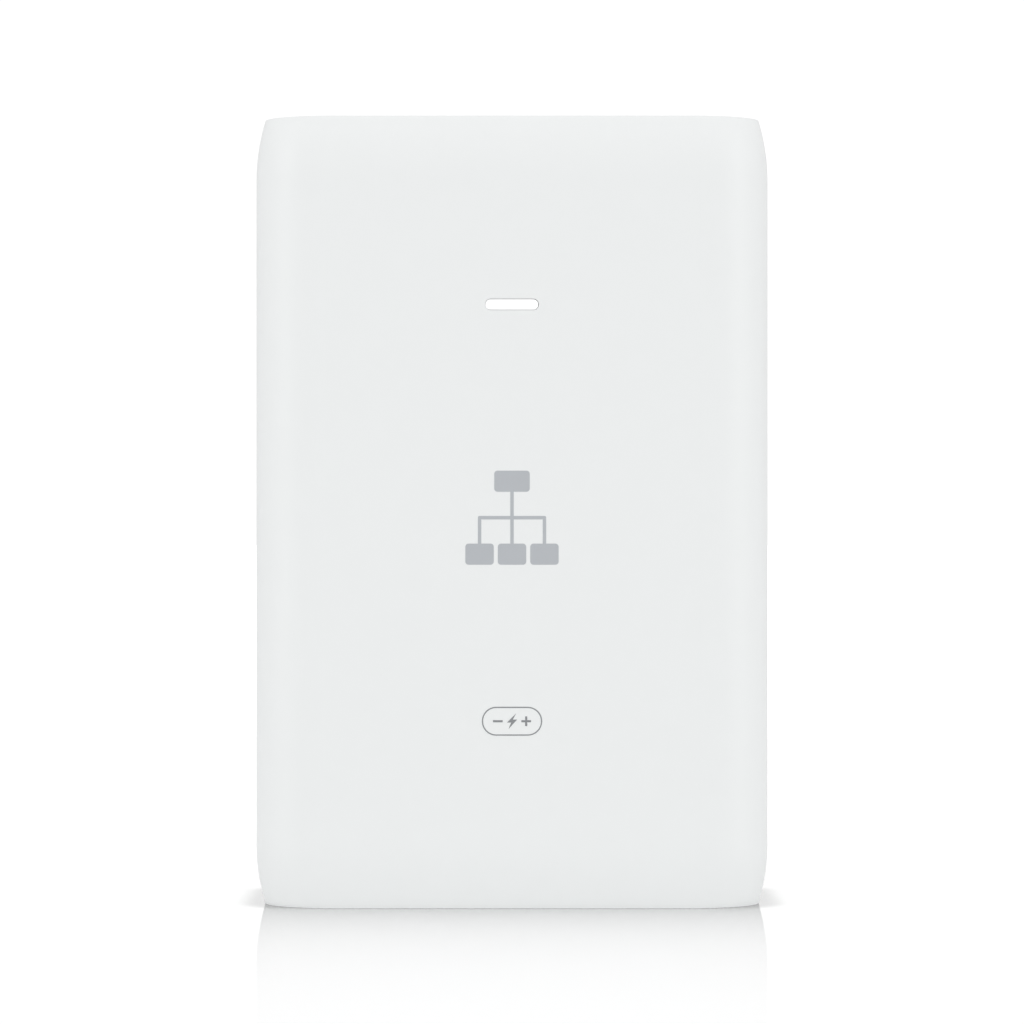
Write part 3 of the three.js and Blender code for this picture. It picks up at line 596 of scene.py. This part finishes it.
# a profile of (radius, depth) turned about an axis through centre
def turned(profile, centre, point, steps=48):
    mesh = bpy.data.meshes.new("turned")
    work = bmesh.new()
    layers = []
    for radius, depth in profile:
        count = steps if radius > 0 else 1
        layer = []
        for i in range(count):
            turn = 2 * math.pi * i / count
            u = centre[0] + radius * math.cos(turn)
            v = centre[1] + radius * math.sin(turn)
            layer.append(work.verts.new(point(u, v, depth)))
        layers.append(layer)
    for lower, upper in zip(layers, layers[1:]):
        for i in range(steps):
            j = i + 1
            below = [lower[i % len(lower)], lower[j % len(lower)]]
            above = [upper[j % len(upper)], upper[i % len(upper)]]
            work.faces.new(list(dict.fromkeys(below + above)))  # three corners at a tip
    bmesh.ops.recalc_face_normals(work, faces=work.faces)
    work.to_mesh(mesh)
    work.free()
    return mesh


# the last step of every piece: metres, one finish, smooth faces with crisp edges, a body to ride on
finishing = {"weld": 2e-7, "bevelSegments": 3, "faceWeight": 100}


def finishPiece(name, mesh, finish, stands=(), body="brick", bevel=0.0, crisp=32):
    mesh.transform(scaled(1 / perMetre))
    mesh.name = name
    if bevel:
        mesh = bevelled(mesh, bevel / perMetre, crisp)
    work = bmesh.new()
    work.from_mesh(mesh)
    bmesh.ops.remove_doubles(work, verts=work.verts, dist=finishing["weld"])
    bmesh.ops.recalc_face_normals(work, faces=work.faces)
    for face in work.faces:
        face.smooth = True
    work.to_mesh(mesh)
    work.free()
    mesh.set_sharp_from_angle(angle=math.radians(crisp))
    mesh.materials.clear()
    mesh.materials.append(finishes[finish])
    piece = linked(name, mesh)
    shading = piece.modifiers.new("shading", "WEIGHTED_NORMAL")
    shading.keep_sharp = True
    shading.weight = finishing["faceWeight"]
    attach(piece, body)
    finish in slotOf.values()
    if stands:
        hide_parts(*stands)


def bevelled(mesh, width, crisp):
    holder = linked("bevelled", mesh)
    modifier = holder.modifiers.new("bevel", "BEVEL")
    modifier.width = width
    modifier.segments = finishing["bevelSegments"]
    modifier.limit_method = "ANGLE"
    modifier.angle_limit = math.radians(crisp)
    made = evaluated(holder)
    discard(holder)
    return made


# the outside of the casing, or its hollow inside a wall: a rounded rectangle, drawn in towards both ends
def bodyMesh(name, wall, inset, rim):
    inputs = {
        "Width": brick["width"] - 2 * wall,
        "Depth": brick["backY"] - brick["frontY"] - 2 * wall,
        "Bottom": wall,
        "Top": brick["height"] - wall,
        "Corner Radius": brick["cornerRadius"] - wall,
        "Inset": inset,
        "Inset Length": brick["endLength"],
        "Edge Round": rim,
        "Levels": brick["levels"],
        "Corner Steps": brick["cornerSteps"],
    }

    def build(pen, given):
        plan = (given["Width"], given["Depth"], given["Corner Steps"], given["Corner Radius"])
        shell = sweep(pen, upright(pen, 0, 1, given["Levels"]), *plan)
        place = pen.add("ShaderNodeSeparateXYZ", {}, {0: pen.add("GeometryNodeInputPosition")})
        # levels crowd towards the two ends, where the sides curve
        share = 0.5 - 0.5 * pen.maths("COSINE", place.pick(2) * math.pi)
        tall = given["Top"] - given["Bottom"]
        above = share * tall
        nearest = pen.maths("MINIMUM", above, tall - above)
        near = pen.maths("MAXIMUM", 1 - nearest / given["Inset Length"], 0.0)
        curved = given["Inset"] * near * near
        edge = given["Edge Round"]
        left = edge - pen.maths("MINIMUM", nearest, edge)
        rounded = edge - pen.maths("SQRT", edge * edge - left * left)
        drawn = curved + rounded
        x = place.pick(0) * (1 - drawn * 2.0 / given["Width"])
        y = place.pick(1) * (1 - drawn * 2.0 / given["Depth"])
        moved = pen.add("ShaderNodeCombineXYZ", {}, {0: x, 1: y + brick["midY"], 2: above + given["Bottom"]})
        return pen.add("GeometryNodeSetPosition", {}, {"Geometry": shell, "Position": moved})

    return growMesh(name, inputs, build, finishes["casing"])


def outside():
    return bodyMesh("casingOutside", 0.0, brick["endInset"], brick["edgeRound"])


def hollow():
    return bodyMesh("casingHollow", brick["wall"], 0.0, 0.01)


# openings in the two ends, cut from both shells
ends = {"gap": 0.3, "rim": 0.3, "deep": 6.0, "radius": 0.4, "inletRadius": 1.3}


def endTools():
    tools = []
    for side in ("data", "power"):
        low, high = nodeBox(f"{side}_jack_shield")
        centre = ((low.x + high.x) / 2, (low.y + high.y) / 2)
        half = ((high.x - low.x) / 2 + ends["gap"], (high.y - low.y) / 2 + ends["gap"])
        top = fromTop(brick["height"])
        tools.append(("DIFFERENCE", opening(centre, half, ends["radius"], ends["deep"], ends["rim"], top, 4)))
    low, high = nodeBox("inlet_housing")
    half = ((high.x - low.x) / 2 + ends["gap"], (high.y - low.y) / 2 + ends["gap"])
    centre = (0, (low.y + high.y) / 2)
    inlet = opening(centre, half, ends["inletRadius"], ends["deep"], ends["rim"], fromBelow(0), 6)
    tools.append(("DIFFERENCE", inlet))
    return tools


screws = [nodeMiddle(name) for name in sorted(frame["nodes"]) if name.startswith("screw_")]


def rod(x, z, radius, start, end, steps=32):
    return turned([(0, start), (radius, start), (radius, end), (0, end)], (x, z), fromFront(0), steps)


# how far the sides draw in at a height
def insetAt(z):
    near = max(0.0, 1 - min(z, brick["height"] - z) / brick["endLength"])
    return brick["endInset"] * near * near


# outline of the casing at the seam, grown by a little all round
def seamOutline(grow):
    half, middle = brick["width"] / 2, brick["height"] / 2
    heights = [brick["endLength"] * i / 10 for i in range(11)]
    heights += [brick["height"] - z for z in reversed(heights)]
    right = []
    for z in heights:
        x = (half - insetAt(z)) * (1 + grow / half)
        right.append((x, middle + (z - middle) * (1 + grow / middle)))
    return right + [(-x, z) for x, z in reversed(right)]


# what one shell keeps: everything on its side of a plane, with a round edge where the plane meets the outside
seam = {"aside": 6.0, "deep": 40.0, "slack": 0.01, "step": 0.02}


def seamTool(limit, towards):
    edge, slack = brick["seamRound"], seam["slack"]
    levels = [(seam["aside"], seam["deep"]), (seam["aside"], edge + seam["step"]), (slack, edge)]
    for i in range(1, 6):
        turn = math.pi / 10 * i
        levels.append((slack - edge * (1 - math.cos(turn)), edge * (1 - math.sin(turn))))
    return loft([[(x, limit + towards * back, z) for x, z in seamOutline(grow)] for grow, back in levels])


# front shell: status slot, holder for the light pipe, four screw bosses
front = {
    "bossRadius": 2.7,
    "pilot": 1.4,
    "pilotStart": 14.5,
    "boardGap": 0.1,
    "slotRim": 0.05,
    "slotDeep": 4.0,
    "holder": (6.0, 2.9),
    "holderWall": 1.2,
    "holderDeep": 2.8,
    "holderRoom": (5, 2),
    "overlap": 0.5,
}
lightLow, lightHigh = nodeBox("light_pipe")
light = {"z": (lightLow.z + lightHigh.z) / 2, "halfWidth": 3.3, "halfHeight": 0.7}


def frontShell():
    limit = brick["seamY"] - brick["seamGap"] / 2
    inner = brick["frontY"] + brick["wall"]
    base = inner - front["overlap"]
    halfX, halfZ = front["holder"]
    wall, deep = front["holderWall"], front["holderDeep"]
    roomEnd, roomHalf = inner + front["holderRoom"][0], front["holderRoom"][1]
    z = light["z"]
    steps = [
        ("INTERSECT", seamTool(limit, -1)),
        ("DIFFERENCE", hollow()),
        ("UNION", block((-halfX, base, z - halfZ), (halfX, inner + deep, z + halfZ))),
        ("DIFFERENCE", block((wall - halfX, inner, z - roomHalf), (halfX - wall, roomEnd, z + roomHalf))),
    ]
    boardFront = nodeBox("main_board")[0].y
    pilotStart = brick["frontY"] + front["pilotStart"]
    for spot in screws:
        boss = rod(spot.x, spot.z, front["bossRadius"], base, boardFront - front["boardGap"])
        steps.append(("UNION", boss))
    for spot in screws:
        steps.append(("DIFFERENCE", rod(spot.x, spot.z, front["pilot"], pilotStart, boardFront + 1)))
    half = (light["halfWidth"], light["halfHeight"])
    outward = fromFront(brick["frontY"])
    slot = opening((0, z), half, half[1] - 0.01, front["slotDeep"], front["slotRim"], outward, 10)
    mesh = carve(outside(), *steps, ("DIFFERENCE", slot), *endTools())
    finishPiece("frontShell", mesh, "casing", ["front_shell"])


# rear shell: lip, pillars, seats for the feet and the label, channel for the bracket
rear = {
    "lipIn": 0.3,
    "lipThick": 0.9,
    "lipDepth": 2.0,
    "lipRoot": 0.25,
    "ledge": 1.5,
    "pillar": 3.2,
    "boardGap": 0.15,
    "bossRoom": 0.4,
    "screwHole": 1.5,
    "headHole": 2.7,
    "headSeat": 13.8,
    "footRadius": 4.1,
    "footSeat": 16.8,
    "footRim": 0.12,
    "channelHalf": 16.0,
    "channelFloor": 14.2,
    "channelLipY": 16.0,
    "channelLip": 1.4,
    "channelTop": 66.0,
    "channelWall": 2.2,
    "rim": 0.25,
    "overlap": 0.5,
    "labelGap": 0.15,
    "labelRound": 1.6,
    "labelDeep": 0.25,
    "labelRim": 0.08,
}


def seamRing(outer, inner, start, end):
    half, tall = brick["width"] / 2, brick["height"]
    ring = block((outer - half, start, outer), (half - outer, end, tall - outer))
    middle = block((inner - half, start - 1, inner), (half - inner, end + 1, tall - inner))
    return carve(ring, ("DIFFERENCE", middle))


# the channel's section, with round outer edges on its lips
def channelTool():
    half, floor, lipY = rear["channelHalf"], rear["channelFloor"], rear["channelLipY"]
    lip, rim = rear["channelLip"], rear["rim"]
    right = [(half, floor), (half, lipY), (half - lip, lipY)]
    for turn in quarterTurns():
        right.append((half - lip + rim * (1 - math.cos(turn)), brick["backY"] - rim * (1 - math.sin(turn))))
    right.append((half - lip + rim, brick["backY"] + 3))
    outline = right + [(-x, y) for x, y in reversed(right)]
    return prism(outline, -3, rear["channelTop"])


def rearShell():
    limit = brick["seamY"] + brick["seamGap"] / 2
    back = brick["backY"]
    inner = back - brick["wall"]
    boardBack = nodeBox("main_board")[1].y
    end = inner + rear["overlap"]
    wall = rear["channelWall"]
    reach = rear["channelHalf"] + wall
    lip = brick["wall"] + rear["lipIn"]
    lipInner = lip + rear["lipThick"]
    ledge = limit + rear["ledge"]
    steps = [
        ("INTERSECT", seamTool(limit, 1)),
        ("DIFFERENCE", hollow()),
        ("UNION", block((-reach, rear["channelFloor"] - wall, 1), (reach, end, rear["channelTop"] + wall))),
        ("UNION", seamRing(lip, lipInner, brick["seamY"] - rear["lipDepth"], ledge)),
        ("UNION", seamRing(brick["wall"] - rear["lipRoot"], lipInner, limit + 0.01, ledge + 0.01)),
    ]
    for spot in screws:
        steps.append(("UNION", rod(spot.x, spot.z, rear["pillar"], boardBack + rear["boardGap"], end)))
    for spot in screws:
        roomRadius = front["bossRadius"] + rear["bossRoom"]
        profile = [
            (0, brick["seamY"] - 3),
            (roomRadius, brick["seamY"] - 3),
            (roomRadius, boardBack),
            (rear["screwHole"], boardBack),
            (rear["screwHole"], rear["headSeat"]),
            (rear["headHole"], rear["headSeat"]),
            (rear["headHole"], back + 1),
            (0, back + 1),
        ]
        steps.append(("DIFFERENCE", turned(profile, (spot.x, spot.z), fromFront(0), 32)))
        radius = rear["footRadius"]
        deep = back - rear["footSeat"]
        centre = (spot.x, spot.z)
        seat = opening(centre, (radius, radius), radius - 0.01, deep, rear["footRim"], fromBack(back), 12)
        steps.append(("DIFFERENCE", seat))
    steps.append(("DIFFERENCE", channelTool()))
    low, high = nodeBox("rating_label")
    gap = rear["labelGap"]
    half = ((high.x - low.x) / 2 + gap, (high.z - low.z) / 2 + gap)
    middle = (0, (low.z + high.z) / 2)
    seat = opening(middle, half, rear["labelRound"], rear["labelDeep"], rear["labelRim"], fromBack(back), 8)
    mesh = carve(outside(), *steps, ("DIFFERENCE", seat), *endTools())
    finishPiece("rearShell", mesh, "casing", ["rear_shell"])


frontShell()
rearShell()
print("casing made")


# light pipe: its lit tip fills the slot, then a flange behind the wall and a stem to the board
pipe = {
    "recess": 0.22,
    "slack": 0.045,
    "edge": 0.05,
    "shift": (-0.02, -0.01),
    "flange": (4.5, 1.7),
    "flangeAt": 2.4,
    "flangeThick": 1.0,
    "stem": (3.0, 0.9),
}


def lightPipe():
    tip = (light["halfWidth"] - pipe["slack"], light["halfHeight"] - pipe["slack"])
    at, thick, edge = pipe["flangeAt"], pipe["flangeThick"], pipe["edge"]
    levels = []
    for turn in quarterTurns():
        levels.append((tip, edge * (math.sin(turn) - 1), pipe["recess"] + edge * (1 - math.cos(turn))))
    levels += [(tip, 0, at), (pipe["flange"], -edge, at), (pipe["flange"], 0, at + edge)]
    levels += [(pipe["flange"], 0, at + thick - edge), (pipe["flange"], -edge, at + thick)]
    levels += [(pipe["stem"], 0, at + thick), (pipe["stem"], 0, lightHigh.y - brick["frontY"])]
    point = fromFront(brick["frontY"])
    rings = []
    for (halfX, halfZ), grow, deep in levels:
        ring = roundedRing(halfX + grow, halfZ + grow, halfZ + grow - 0.01, 10)
        rings.append([point(u + pipe["shift"][0], light["z"] + pipe["shift"][1] + v, deep) for u, v in ring])
    finishPiece("lightPipe", loft(rings), "lens", ["light_pipe"], crisp=40)


# printed marks on the front: thin coats of ink, a network tree above and a power sign in a pill below
ink = {
    "coat": 0.02,
    "treeZ": 48.3,
    "boxHalf": (1.75, 1.3),
    "topBox": 1.25,
    "boxRound": 0.4,
    "boxSpread": 4.0,
    "boxRise": 4.5,
    "line": 0.42,
    "pillZ": 23.2,
    "pillHalf": (3.72, 1.78),
    "pillLine": 0.15,
    "bolt": ((0.5, 0.95), (-0.62, -0.16), (-0.1, -0.16), (-0.42, -0.95), (0.62, 0.2), (0.1, 0.2)),
    "signAt": 1.75,
    "signLong": 0.6,
    "signLine": 0.13,
    "signRound": 0.05,
}


def coat(outline):
    return prism(outline, -ink["coat"], ink["coat"], fromFront(brick["frontY"]))


def inkBox(x, z, half, radius):
    return coat([(x + u, z + v) for u, v in roundedRing(*half, radius, 8)])


def networkTree():
    z, rise, spread, line = ink["treeZ"], ink["boxRise"], ink["boxSpread"], ink["line"] / 2
    steps = [
        ("UNION", inkBox(0, z + rise / 2, (line, rise / 2), line - 0.01)),
        ("UNION", inkBox(0, z, (spread + line, line), line - 0.01)),
    ]
    for x in (-spread, 0, spread):
        steps.append(("UNION", inkBox(x, z - rise / 2, (line, rise / 2), line - 0.01)))
        steps.append(("UNION", inkBox(x, z - rise, ink["boxHalf"], ink["boxRound"])))
    halfX, halfZ = ink["boxHalf"]
    mesh = carve(inkBox(0, z + rise, (halfX * ink["topBox"], halfZ), ink["boxRound"]), *steps)
    finishPiece("networkMark", mesh, "ink")


def powerPill():
    z, (halfX, halfZ), line = ink["pillZ"], ink["pillHalf"], ink["pillLine"]
    inner = roundedRing(halfX - line, halfZ - line, halfZ - line - 0.01, 12)
    hole = prism([(u, z + v) for u, v in inner], -1, 1, fromFront(brick["frontY"]))
    ring = carve(inkBox(0, z, (halfX, halfZ), halfZ - 0.01), ("DIFFERENCE", hole))
    finishPiece("pillOutline", ring, "darkInk")
    finishPiece("pillBolt", coat([(u, z + v) for u, v in ink["bolt"]]), "darkInk")
    at, long, line, edge = ink["signAt"], ink["signLong"], ink["signLine"], ink["signRound"]
    finishPiece("pillMinus", inkBox(-at, z, (long, line), edge), "darkInk")
    plus = carve(inkBox(at, z, (long, line), edge), ("UNION", inkBox(at, z, (line, long), edge)))
    finishPiece("pillPlus", plus, "darkInk")


lightPipe()
networkTree()
powerPill()
print("light pipe and printed marks made")


# a copy of a part of the frame with its facets merged; soften also rounds its edges
merging = {"weld": 1e-3, "flatAngle": 1}


def mergedMesh(node):
    source = frame["nodes"][node]
    mesh = source.data.copy()
    mesh.transform(source.matrix_world)
    mesh.transform(scaled(perMetre))
    work = bmesh.new()
    work.from_mesh(mesh)
    bmesh.ops.remove_doubles(work, verts=work.verts, dist=merging["weld"])
    flat = math.radians(merging["flatAngle"])
    bmesh.ops.dissolve_limit(work, angle_limit=flat, verts=work.verts, edges=work.edges)
    work.to_mesh(mesh)
    work.free()
    return mesh


def pieceName(node):
    first, *rest = node.split("_")
    return first + "".join(word.capitalize() for word in rest)


def soften(node, finish, edge):
    finishPiece(pieceName(node), mergedMesh(node), finish, [node], bevel=edge)


# rubber feet, dished in the middle, and the casing screws under them
foot = {
    "radius": 3.95,
    "seat": 16.9,
    "seatEdge": 0.1,
    "face": 18.0,
    "edge": 0.4,
    "dish": 2.5,
    "dishEdge": 0.3,
    "dishSlope": 0.2,
    "dishDeep": 0.25,
}
screw = {
    "tip": -1.5,
    "core": 0.95,
    "crest": 1.2,
    "sharpness": 5,
    "pitch": 0.9,
    "levels": 8,
    "steps": 24,
    "taper": (0.25, 2.0),
    "runOut": (1.2, 0.6),
    "shankEnd": 13.9,
    "head": 2.4,
    "top": 15.6,
    "edge": 0.5,
    "recess": 1.1,
    "recessHalf": (0.28, 1.25),
    "recessSpread": (0.6, 1.1),
}


def arc(radius, depth, size, start, end, steps=5):
    turns = [math.radians(start + (end - start) * i / steps) for i in range(steps + 1)]
    return [(radius + size * math.cos(t), depth + size * math.sin(t)) for t in turns]


def rubberFoot(name, spot):
    radius, edge, face = foot["radius"], foot["edge"], foot["face"]
    seat, seatEdge = foot["seat"], foot["seatEdge"]
    dish, dishEdge = foot["dish"], foot["dishEdge"]
    hollowAt = face - foot["dishDeep"]
    profile = [(0, seat), (radius - seatEdge, seat), (radius, seat + seatEdge)]
    profile += arc(radius - edge, face - edge, edge, 0, 90)
    profile += arc(dish + dishEdge, face - dishEdge, dishEdge, 90, 150, 3)
    profile += [(dish - foot["dishSlope"], hollowAt), (0, hollowAt)]
    mesh = turned(profile, (spot.x, spot.z), fromFront(0), 56)
    finishPiece(pieceName(name), mesh, "rubber", [name], crisp=50)


# a shank whose radius follows a helix, and a pan head with a cross recess
def casingScrew(name, spot):
    steps = screw["steps"]
    length = screw["shankEnd"] - screw["tip"]
    levels = int(length / screw["pitch"] * screw["levels"])
    tipShare, taperLength = screw["taper"]
    plain, fadeLength = screw["runOut"]
    rings = []
    for i in range(levels + 1):
        y = screw["tip"] + length * i / levels
        taper = min(1.0, tipShare + (y - screw["tip"]) / taperLength)
        fade = min(1.0, max(0.0, (screw["shankEnd"] - plain - y) / fadeLength))
        ring = []
        for j in range(steps):
            phase = (y / screw["pitch"] - j / steps) % 1
            crest = max(0.0, 1 - abs(phase - 0.5) * screw["sharpness"])
            radius = (screw["core"] + (screw["crest"] - screw["core"]) * crest * fade) * taper
            turn = 2 * math.pi * j / steps
            ring.append((spot.x + radius * math.cos(turn), y, spot.z + radius * math.sin(turn)))
        rings.append(ring)
    head, top, edge = screw["head"], screw["top"], screw["edge"]
    under = screw["shankEnd"] - 0.05
    profile = [(0, under), (head, under), *arc(head - edge, top - edge, edge, 0, 90), (0, top + 0.04)]
    cross = screw["recessHalf"]
    narrow, flared = screw["recessSpread"]
    bars = []
    for halfX, halfZ in (cross, cross[::-1]):
        bar = []
        for g, y in ((narrow, top + -screw["recess"]), (flared, top + 0.3)):
            bar.append([(spot.x + a * halfX * g, y, spot.z + b * halfZ * g) for a, b in squareCorners])
        bars.append(("DIFFERENCE", loft(bar)))
    mesh = carve(turned(profile, (spot.x, spot.z), fromFront(0), 40), ("UNION", loft(rings)), *bars)
    finishPiece(pieceName(name), mesh, "zinc_steel", [name], crisp=35)


for corner in ("lower_left", "lower_right", "upper_left", "upper_right"):
    spot = nodeMiddle("screw_" + corner)
    rubberFoot("foot_" + corner, spot)
    casingScrew("screw_" + corner, spot)
print("feet and screws made")


# blank rating label: a film with a printed frame and plain bars where the ratings would stand
plate = {
    "round": 1.5,
    "edge": 0.03,
    "inset": 1.2,
    "line": 0.2,
    "lineRound": (0.8, 0.6),
    "bars": ((-5.0, 7.0), (-2.0, 10.0), (1.0, 8.5), (4.0, 6.0)),
    "barInset": 1.4,
    "barHigh": 0.9,
    "barRound": 0.3,
}


def ratingLabel():
    low, high = nodeBox("rating_label")
    half = ((high.x - low.x) / 2, (high.z - low.z) / 2)
    middle = (low.z + high.z) / 2
    point = fromBack(high.y)
    outline = [(u, middle + v) for u, v in roundedRing(*half, plate["round"], 8)]
    film = prism(outline, 0, high.y - low.y, point)
    finishPiece("ratingLabel", film, "label", ["rating_label"], bevel=plate["edge"])

    def printed(x, z, halfX, halfZ, radius):
        outline = [(x + u, z + v) for u, v in roundedRing(halfX, halfZ, radius, 6)]
        return prism(outline, -ink["coat"], ink["coat"], point)

    inset, line = plate["inset"], plate["line"]
    outerRound, innerRound = plate["lineRound"]
    inner = (half[0] - inset - line, half[1] - inset - line)
    cut = prism([(u, middle + v) for u, v in roundedRing(*inner, innerRound, 6)], -1, 1, point)
    border = printed(0, middle, half[0] - inset, half[1] - inset, outerRound)
    finishPiece("labelFrame", carve(border, ("DIFFERENCE", cut)), "ink")
    left = half[0] - inset - plate["barInset"]
    for i, (z, length) in enumerate(plate["bars"]):
        bar = printed(left - length, middle + z, length, plate["barHigh"] / 2, plate["barRound"])
        finishPiece(f"labelBar{i}", bar, "ink")


# wall bracket: rounded edges, and ridges in the thumb grip
grip = {
    "ridges": 4,
    "pitch": 0.95,
    "half": (4.6, 0.45),
    "narrowing": 0.35,
    "top": 4.2,
    "deep": 1.2,
    "section": ((1, -0.3), (1, 0.3), (0.85, 0.55), (0.5, 0.68)),
    "edge": 0.2,
}


def wallBracket():
    point = fromBack(nodeBox("wall_bracket")[1].y - grip["deep"])
    halfX, halfZ = grip["half"]
    ridges = []
    for i in range(grip["ridges"]):
        ring = roundedRing(halfX - grip["narrowing"] * i, halfZ, halfZ - 0.01, 6)
        centre = grip["top"] - grip["pitch"] * i
        rings = [[point(u * g, centre + v * g, -rise) for u, v in ring] for g, rise in grip["section"]]
        ridges.append(("UNION", loft(rings)))
    mesh = carve(mergedMesh("wall_bracket"), *ridges)
    finishPiece("wallBracket", mesh, "casing", ["wall_bracket"], "wall_bracket", grip["edge"], 40)


ratingLabel()
wallBracket()
print("label and wall bracket made")


# network sockets: softened shield and housing, and eight gold spring wires on one bar
wires = {
    "Count": 8,
    "Pitch": 1.02,
    "Wide": 0.5,
    "Thick": 0.35,
    "Edge": 0.09,
    "Steps": 48,
    "Lift": 0.55,
    "Bar Radius": 0.55,
    "Bar Length": 9.0,
    "root": (-1.25, -2.0),
    "bend": (-4.1, -10.6),
    "bendRound": 0.3,
    "endZ": -11.5,
}


def springWires(side):
    low, high = nodeBox(f"{side}_jack_shield")
    origin = ((low.x + high.x) / 2, nodeBox("main_board")[0].y, high.z)
    rootY, rootZ = wires["root"]
    bendY, bendZ = wires["bend"]
    labels = ("Count", "Pitch", "Wide", "Thick", "Edge", "Steps", "Lift", "Bar Radius", "Bar Length")

    def build(pen, given):
        line = upright(pen, rootZ, wires["endZ"], given["Steps"])
        z = pen.add("ShaderNodeSeparateXYZ", {}, {0: pen.add("GeometryNodeInputPosition")}).pick(2)
        falling = (z - rootZ) * ((bendY - rootY) / (bendZ - rootZ)) + rootY
        rising = (bendZ - z) * given["Lift"] + bendY
        y = pen.maths("SMOOTH_MAX", falling, rising, wires["bendRound"])
        bent = pen.add("ShaderNodeCombineXYZ", {}, {1: y, 2: z})
        line = pen.add("GeometryNodeSetPosition", {}, {"Geometry": line, "Position": bent})
        wire = sweep(pen, line, given["Thick"], given["Wide"], 3, given["Edge"])
        first = pen.add("ShaderNodeCombineXYZ", {}, {0: (given["Count"] - 1) * given["Pitch"] * -0.5})
        step = pen.add("ShaderNodeCombineXYZ", {}, {0: given["Pitch"]})
        row = {"Count": given["Count"], "Start Location": first, "Offset": step}
        row = pen.add("GeometryNodeMeshLine", {}, row)
        row = pen.add("GeometryNodeInstanceOnPoints", {}, {"Points": row, "Instance": wire})
        bar = {"Vertices": 24, "Radius": given["Bar Radius"], "Depth": given["Bar Length"]}
        bar = pen.add("GeometryNodeMeshCylinder", {}, bar)
        turn = {"Geometry": bar, "Translation": (0, rootY, rootZ), "Rotation": (0, math.pi / 2, 0)}
        bar = pen.add("GeometryNodeTransform", {}, turn)
        whole = pen.add("GeometryNodeJoinGeometry", {}, {0: row})
        pen.tree.links.new(bar.socket, whole.socket.node.inputs[0])
        return pen.add("GeometryNodeTransform", {}, {"Geometry": whole, "Translation": origin})

    mesh = growMesh(f"{side}SpringWires", {label: wires[label] for label in labels}, build, finishes["gold"])
    finishPiece(f"{side}Contacts", mesh, "gold", [f"{side}_jack_contacts"], f"{side}_contacts", crisp=40)


for side in ("data", "power"):
    springWires(side)
    soften(f"{side}_jack_shield", "sheet_steel", 0.09)
    soften(f"{side}_jack_housing", "black_plastic", 0.12)
soften("inlet_housing", "black_plastic", 0.3)
for blade in ("line", "neutral", "earth"):
    soften(f"inlet_blade_{blade}", "nickel", 0.3)
print("sockets and inlet made")


# choke windings: turns of enamelled wire around the ring, with leads down to the board
coil = {"turns": 5.75, "wire": 0.46, "clear": 0.17, "inner": 4.1, "sweep": 104, "steps": 32, "squareness": 8}


def squared(share):
    return math.copysign(abs(share) ** (2 / coil["squareness"]), share)


def chokeWinding(name, side):
    low, high = nodeBox("choke_core")
    middle = (low + high) / 2
    room = coil["clear"] + coil["wire"]
    outer = (high.x - low.x) / 2
    wide = (outer - coil["inner"]) / 2 + room
    tall = (high.y - low.y) / 2 + room
    count = int(coil["turns"] * coil["steps"])
    points = []
    for i in range(count + 1):
        turn = -2 * math.pi * i / coil["steps"]
        spread = math.radians(coil["sweep"]) * (i / count - 0.5)
        radius = (outer + coil["inner"]) / 2 + wide * squared(math.cos(turn))
        x = side * radius * math.cos(spread)
        y = tall * squared(math.sin(turn))
        points.append(middle + Vector((x, y, radius * math.sin(spread))))
    board = nodeBox("main_board")[0].y
    points = [Vector((points[0].x, board, points[0].z)), *points, Vector((points[-1].x, board, points[-1].z))]
    curve = bpy.data.curves.new(name, "CURVE")
    curve.dimensions = "3D"
    curve.bevel_depth = coil["wire"]
    curve.bevel_resolution = 4
    curve.use_fill_caps = True
    path = curve.splines.new("POLY")
    path.points.add(len(points) - 1)
    for knot, point in zip(path.points, points):
        knot.co = (*point, 1)
    holder = linked(name, curve)
    mesh = evaluated(holder)
    discard(holder)
    finishPiece(pieceName(name), mesh, "copper", [name], crisp=50)


# transformer winding: tape laid in overlapping bands around a tube
tape = {"bore": 4.85, "bands": 6, "step": 0.12, "round": 0.06, "gap": 0.01}


def transformerWinding():
    low, high = nodeBox("transformer_winding")
    middle = (low + high) / 2
    radius = (high.x - low.x) / 2
    under = radius - tape["step"]
    band = (high.z - low.z) / tape["bands"]
    profile = [(tape["bore"], low.z)]
    for i in range(tape["bands"]):
        start = low.z + band * i
        profile += [(under, start), (radius, start + tape["round"])]
        profile += [(radius, start + band - tape["round"]), (under, start + band - tape["gap"])]
    profile += [(tape["bore"], high.z), (tape["bore"], low.z)]
    mesh = turned(profile, (middle.x, middle.y), fromBelow(0), 64)
    finishPiece("transformerWinding", mesh, "tape", ["transformer_winding"], crisp=40)


chokeWinding("choke_winding_left", -1)
chokeWinding("choke_winding_right", 1)
transformerWinding()
print("windings made")


# everything else inside the casing
edges = {"main_board": 0.08, "insulation_sheet": 0.04, "film_capacitor": 0.5, "fuse": 0.1, "others": 0.2}
done = {"front_shell", "rear_shell", "light_pipe", "rating_label", "wall_bracket", "transformer_winding"}
doneGroups = ("screw_", "foot_", "data_jack", "power_jack", "inlet_", "choke_winding")
for node, slot in slotOf.items():
    if node not in done and not node.startswith(doneGroups):
        soften(node, slot, edges.get(node, edges["others"]))
print("inside pieces made")
